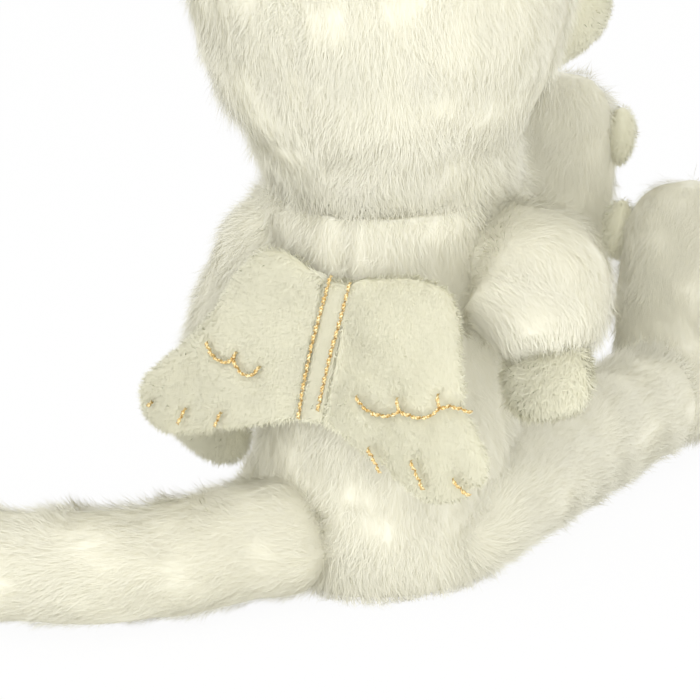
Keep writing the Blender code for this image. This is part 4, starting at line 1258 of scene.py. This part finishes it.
class MONKEY_OT_legs(bpy.types.Operator):
    """Make both legs and their upturned feet, with velour soles and big toes"""

    bl_idname = "monkey.legs"
    bl_label = "Legs"

    def execute(self, context):
        fur = context.scene.monkey_fur
        for side, sign in SIDES.items():
            mesh, flow = grid_mesh("leg_fur_" + side,
                                   *limb_grid(LEG_PATH[side], LEG_RADII, UP, 64, 60, (1.0, 0.3)))
            normals = prepare_skin(mesh, flow, fur.inset, fur.lumps, 12 + sign)[1]
            thin_beneath(mesh, normals, 0.55)
            cover("leg_fur_" + side, mesh, fur_values(context, 12 + sign), "leg_" + side, "cream_fur", 0.7,
                  "leg_skin_" + side, "leg_filling_" + side)
            self.make_foot(context, side, sign)
        return {"FINISHED"}

    def make_foot(self, context, side, sign):
        fur = context.scene.monkey_fur
        body = "foot_" + side
        mesh, axis = foot_mesh("foot_fur_" + side, side)
        front = np.array((0.0, -axis[2], axis[1]))
        ankle = np.array(ANKLE[side])
        points = prepare_skin(mesh, None, fur.inset, fur.lumps, 15 + sign, None,
                              lambda p, n: np.tile(-axis, (len(p), 1)))[0]
        sole_centre = ankle + axis * SOLE_SIZE[2] + front * FOOT_HALF_THICKNESS
        toe_centre = ankle + axis * TOE_UP_FOOT - np.array((sign * FOOT_HALF_WIDTH, 0.0, 0.0))
        local = points - sole_centre
        across = local[:, 0] / (SOLE_SIZE[0] - 0.001)
        up = local @ axis / (SOLE_SIZE[2] - 0.001)
        covered = (across ** 2 + up ** 2 < 1.0) & (local @ front > -0.009)
        finish_skin(mesh, 0.9, np.where(covered, 0.0, 1.0), 0.42)
        cover("foot_fur_" + side, mesh, fur_values(context, 15 + sign), body, "cream_fur", 0.7,
              "foot_" + side)
        for name, centre, size, node in (("sole_velour_", sole_centre, SOLE_SIZE, "sole_"),
                                         ("toe_velour_", toe_centre, TOE_SIZE, "big_toe_")):
            make_velour_ball(context, name + side, centre, size, axis, -front, 17 + sign, body, node + side)


class MONKEY_OT_tail(bpy.types.Operator):
    """Make the tail, which lies on the floor"""

    bl_idname = "monkey.tail"
    bl_label = "Tail"

    def execute(self, context):
        fur = context.scene.monkey_fur
        path = [(x, y, TAIL_LEVEL) for x, y in TAIL_PATH]
        radii = np.linspace(*TAIL_RADII, len(path))
        mesh, flow = grid_mesh("tail_fur", *limb_grid(path, radii, UP, 100, 56, (0.8, 1.0)))
        normals = prepare_skin(mesh, flow, fur.inset, fur.lumps, 30)[1]
        thin_beneath(mesh, normals, 0.56)
        cover("tail_fur", mesh, fur_values(context, 30), "tail", "cream_fur", 0.7, "tail_skin",
              "tail_filling")
        return {"FINISHED"}


class MONKEY_OT_face(bpy.types.Operator):
    """Make the muzzle, face patch, nose, mouth, eyes and ears"""

    bl_idname = "monkey.face"
    bl_label = "Face and ears"

    def execute(self, context):
        inside_head = lambda p: in_ball(p, HEAD_CENTRE, np.full(3, HEAD_RADIUS), -0.004)
        inside_muzzle = lambda p: inside_head(p) | in_ball(p, MUZZLE_CENTRE, MUZZLE_SIZE, -PATCH_OVERLAP)
        make_velour_ball(context, "muzzle_velour", MUZZLE_CENTRE, MUZZLE_SIZE, UP, BACK, 40, "head", "muzzle",
                         inside_head)
        make_velour_ball(context, "face_velour", FACE_CENTRE, FACE_SIZE, UP, BACK, 41, "head", "face_patch",
                         inside_muzzle)
        for side, sign in SIDES.items():
            centre = EAR_CENTRE * np.array((sign, 1.0, 1.0))
            self.make_ear(context, side, sign, centre, inside_head)
            lining = centre - BACK * EAR_SIZE[1]
            make_velour_ball(context, "ear_velour_" + side, lining, EAR_LINING_SIZE, UP, BACK, 44 + sign,
                             "head", "ear_lining_" + side)
            self.make_eye(context, side, sign)
        self.make_nose(context)
        self.make_mouth(context)
        return {"FINISHED"}

    def make_eye(self, context, side, sign):
        out = sign * EYE_APART / 2.0
        depth = math.sqrt(1.0 - (out / FACE_SIZE[0]) ** 2 - (EYE_RISE / FACE_SIZE[2]) ** 2)
        seat = FACE_CENTRE + np.array((out, -FACE_SIZE[1] * depth, EYE_RISE))
        axis = unit(seat - HEAD_CENTRE)
        stem = EYE_STEM_FROM_HEAD - np.linalg.norm(seat - HEAD_CENTRE)
        angle = np.radians(np.linspace(-30.0, 84.0, 24))
        along = np.concatenate(([stem, -0.003], EYE_DEPTH * np.sin(angle)))
        radii = np.concatenate(([EYE_STEM_RADIUS, EYE_STEM_RADIUS], EYE_RADIUS * np.cos(angle)))
        grid = ring_grid(seat + axis * along[:, None], np.tile(axis, (len(along), 1)), UP, radii, radii, 48)
        mesh = grid_mesh("eye_dome_" + side, grid, (seat + axis * stem, seat + axis * EYE_DEPTH))[0]
        mesh.materials.append(eye_material(context.scene.monkey_face))
        obj = add_piece("eye_dome_" + side, mesh)
        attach(obj, "head")
        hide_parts("eye_" + side)
        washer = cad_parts["eye_washer_" + side]
        washer.material_slots[0].material = washer_material()

    def make_nose(self, context):
        face = context.scene.monkey_face
        grid, poles = ball_grid(NOSE_CENTRE, NOSE_SIZE[[2, 1, 0]], (1.0, 0.0, 0.0), BACK, 150, 40)
        mesh = grid_mesh("nose_threads", grid, poles)[0]
        points, normals = vertex_points(mesh)
        ridge = np.abs(np.sin(math.pi * (points[:, 0] - NOSE_CENTRE[0]) / face.thread))
        set_points(mesh, points + normals * (0.3 * face.thread * (ridge - 0.4))[:, None])
        mesh.materials.append(thread_material(face))
        obj = add_piece("nose_threads", mesh)
        dress(obj, "head", "tan_thread", 0.7, "nose")

    def make_mouth(self, context):
        face = context.scene.monkey_face
        size = MUZZLE_SIZE + 0.0006
        lines = []
        for line in MOUTH_LINES:
            flat = spline(line, 40)
            depth = np.sqrt(1.0 - (flat[:, 0] / size[0]) ** 2 - (flat[:, 1] / size[2]) ** 2)
            lines.append(MUZZLE_CENTRE + np.stack((flat[:, 0], -size[1] * depth, flat[:, 1]), axis=1))
        outward = lambda p: unit((p - MUZZLE_CENTRE) / size ** 2)
        sew("mouth_stitches", lines, outward, "head", 66, 0.0024, 0.0024, thread_material(face))

    def make_ear(self, context, side, sign, centre, inside_head):
        mesh, flow = grid_mesh("ear_fur_" + side, *ball_grid(centre, EAR_SIZE, UP, BACK, 30, 48))
        outward = lambda p, n: p - HEAD_CENTRE
        points = prepare_skin(mesh, flow, 0.002, VELOUR_LUMPS, 47 + sign, None, outward)[0]
        from_middle = np.hypot(points[:, 0] - centre[0], points[:, 2] - centre[2])
        lining = (from_middle < 0.0115) & (points[:, 1] < centre[1])
        finish_skin(mesh, 0.55, np.where(lining | inside_head(points), 0.0, 1.0), 0.55)
        cover("ear_fur_" + side, mesh, fur_values(context, 47 + sign), "head", "cream_fur", 0.5,
              "ear_" + side)


class MONKEY_OT_wings(bpy.types.Operator):
    """Make both velour wings and the band they are sewn to"""

    bl_idname = "monkey.wings"
    bl_label = "Wings"

    def execute(self, context):
        velour = context.scene.monkey_velour
        for side, sign in SIDES.items():
            mesh, flow = grid_mesh("wing_velour_" + side, *wing_grid(side, sign))
            sweep = lambda p, n: np.tile(np.array((sign * 0.6, 0.0, -0.8)), (len(p), 1))
            points = prepare_skin(mesh, flow, velour.inset * 0.6, 0.0005, 50 + sign,
                                  lambda p: 0.0014 * sewn_down(p, side, sign), sweep)[0]
            # Under the stitched lines the pile is pressed shorter and thinner, and its lower tone there is
            # painted shade in the sewn-down dips.
            pressed_and_shaded = sewn_down(points, side, sign)
            finish_skin(mesh, 0.9 - 0.45 * pressed_and_shaded, 1.0 - 0.3 * pressed_and_shaded, 0.5 - 0.12 * pressed_and_shaded)
            cover("wing_velour_" + side, mesh, velour_values(context, 50 + sign), "wing_" + side,
                  "cream_velour", 0.4, "wing_" + side)
        heights = np.linspace(WING_BOTTOM, WING_TOP, 40)
        front = torso_back(heights) + 0.0008
        rear = wing_root(heights) + BAND_RISE
        centres = np.stack((wing_tilt(heights), 0.5 * (front + rear), heights), axis=1)
        half = 0.5 * (rear - front)
        grid = ring_grid(centres, np.tile(UP, (40, 1)), BACK, np.full(40, BAND_HALF_WIDTH), half, 48)
        offset = grid - centres[:, None, :]
        offset[:, :, 0] = squared(offset[:, :, 0], BAND_HALF_WIDTH)
        offset[:, :, 0] *= 1.0 + CLOTH_GAP / BAND_HALF_WIDTH
        offset[:, :, 1] = squared(offset[:, :, 1], half[:, None])
        grid = centres[:, None, :] + offset
        mesh, flow = grid_mesh("band_velour", grid, (centres[0], centres[-1]))
        prepare_skin(mesh, -flow, 0.0004, 0.0002, 53)
        finish_skin(mesh, 0.8, 1.0, 0.45)
        cover("band_velour", mesh, velour_values(context, 53), "torso", "cream_velour", 0.4, "wing_band")
        return {"FINISHED"}


class MONKEY_OT_stitches(bpy.types.Operator):
    """Sew the gold yarn lines on the wings and down both sides of the band"""

    bl_idname = "monkey.stitches"
    bl_label = "Gold stitches"

    def execute(self, context):
        yarn = context.scene.monkey_yarn
        lines = []
        for line in BAND_LINES:
            offset, heights = np.array(line).T
            behind_band = wing_root(heights) + BAND_RISE + yarn.proud
            lines.append(np.stack((wing_tilt(heights) + offset, behind_band, heights), axis=1))
        # The gold's grain runs between painted glints and painted shade.
        material = yarn_material("gold_yarn", yarn.shine, yarn.shade, 0.75, 0.32, 1900.0)
        behind = lambda p: np.tile(BACK, (len(p), 1))
        sew("band_stitches", lines, behind, "torso", 60, yarn.step, yarn.thickness, material)
        for side, sign in SIDES.items():
            lines = []
            for line in WING_LINES[side]:
                flat = np.array(line)
                if len(flat) > 3:
                    flat = spline(flat, 40)
                lines.append(wing_points(sign, flat[:, 0], flat[:, 1], WING_HALF_THICKNESS + yarn.proud))
            sew("wing_stitches_" + side, lines, behind, "wing_" + side, 61 + sign, yarn.step,
                yarn.thickness, material)
        return {"FINISHED"}


class MONKEY_PT_panel(bpy.types.Panel):
    """Sizes, colours and makers of the toy's pieces"""

    bl_idname = "MONKEY_PT_panel"
    bl_label = "Stuffed monkey"
    bl_space_type = "VIEW_3D"
    bl_region_type = "UI"
    bl_category = "Toy"

    def draw(self, context):
        layout = self.layout
        for name, kind in GROUPS.items():
            box = layout.box()
            for value in kind.__annotations__:
                box.prop(getattr(context.scene, name), value)
        for operator in OPERATORS:
            layout.operator(operator.bl_idname)


GROUPS = {"monkey_fur": FurSettings, "monkey_velour": VelourSettings, "monkey_yarn": YarnSettings,
          "monkey_face": FaceSettings, "monkey_stage": StageSettings}
OPERATORS = (MONKEY_OT_stage, MONKEY_OT_torso, MONKEY_OT_head, MONKEY_OT_face, MONKEY_OT_arms, MONKEY_OT_legs,
             MONKEY_OT_tail, MONKEY_OT_wings, MONKEY_OT_stitches)


def register():
    """Add the settings, operators and panel."""
    for name, group in GROUPS.items():
        bpy.utils.register_class(group)
        setattr(bpy.types.Scene, name, bpy.props.PointerProperty(type=group))
    for operator in OPERATORS:
        bpy.utils.register_class(operator)
    bpy.utils.register_class(MONKEY_PT_panel)


def unregister():
    """Take the settings, operators and panel away."""
    bpy.utils.unregister_class(MONKEY_PT_panel)
    for operator in reversed(OPERATORS):
        bpy.utils.unregister_class(operator)
    for name, group in GROUPS.items():
        delattr(bpy.types.Scene, name)
        bpy.utils.unregister_class(group)


def main():
    """Make every piece in order."""
    register()
    bpy.ops.monkey.stage()
    bpy.ops.monkey.torso()
    bpy.ops.monkey.head()
    bpy.ops.monkey.face()
    bpy.ops.monkey.arms()
    bpy.ops.monkey.legs()
    bpy.ops.monkey.tail()
    bpy.ops.monkey.wings()
    bpy.ops.monkey.stitches()


if __name__ == "__main__":
    main()
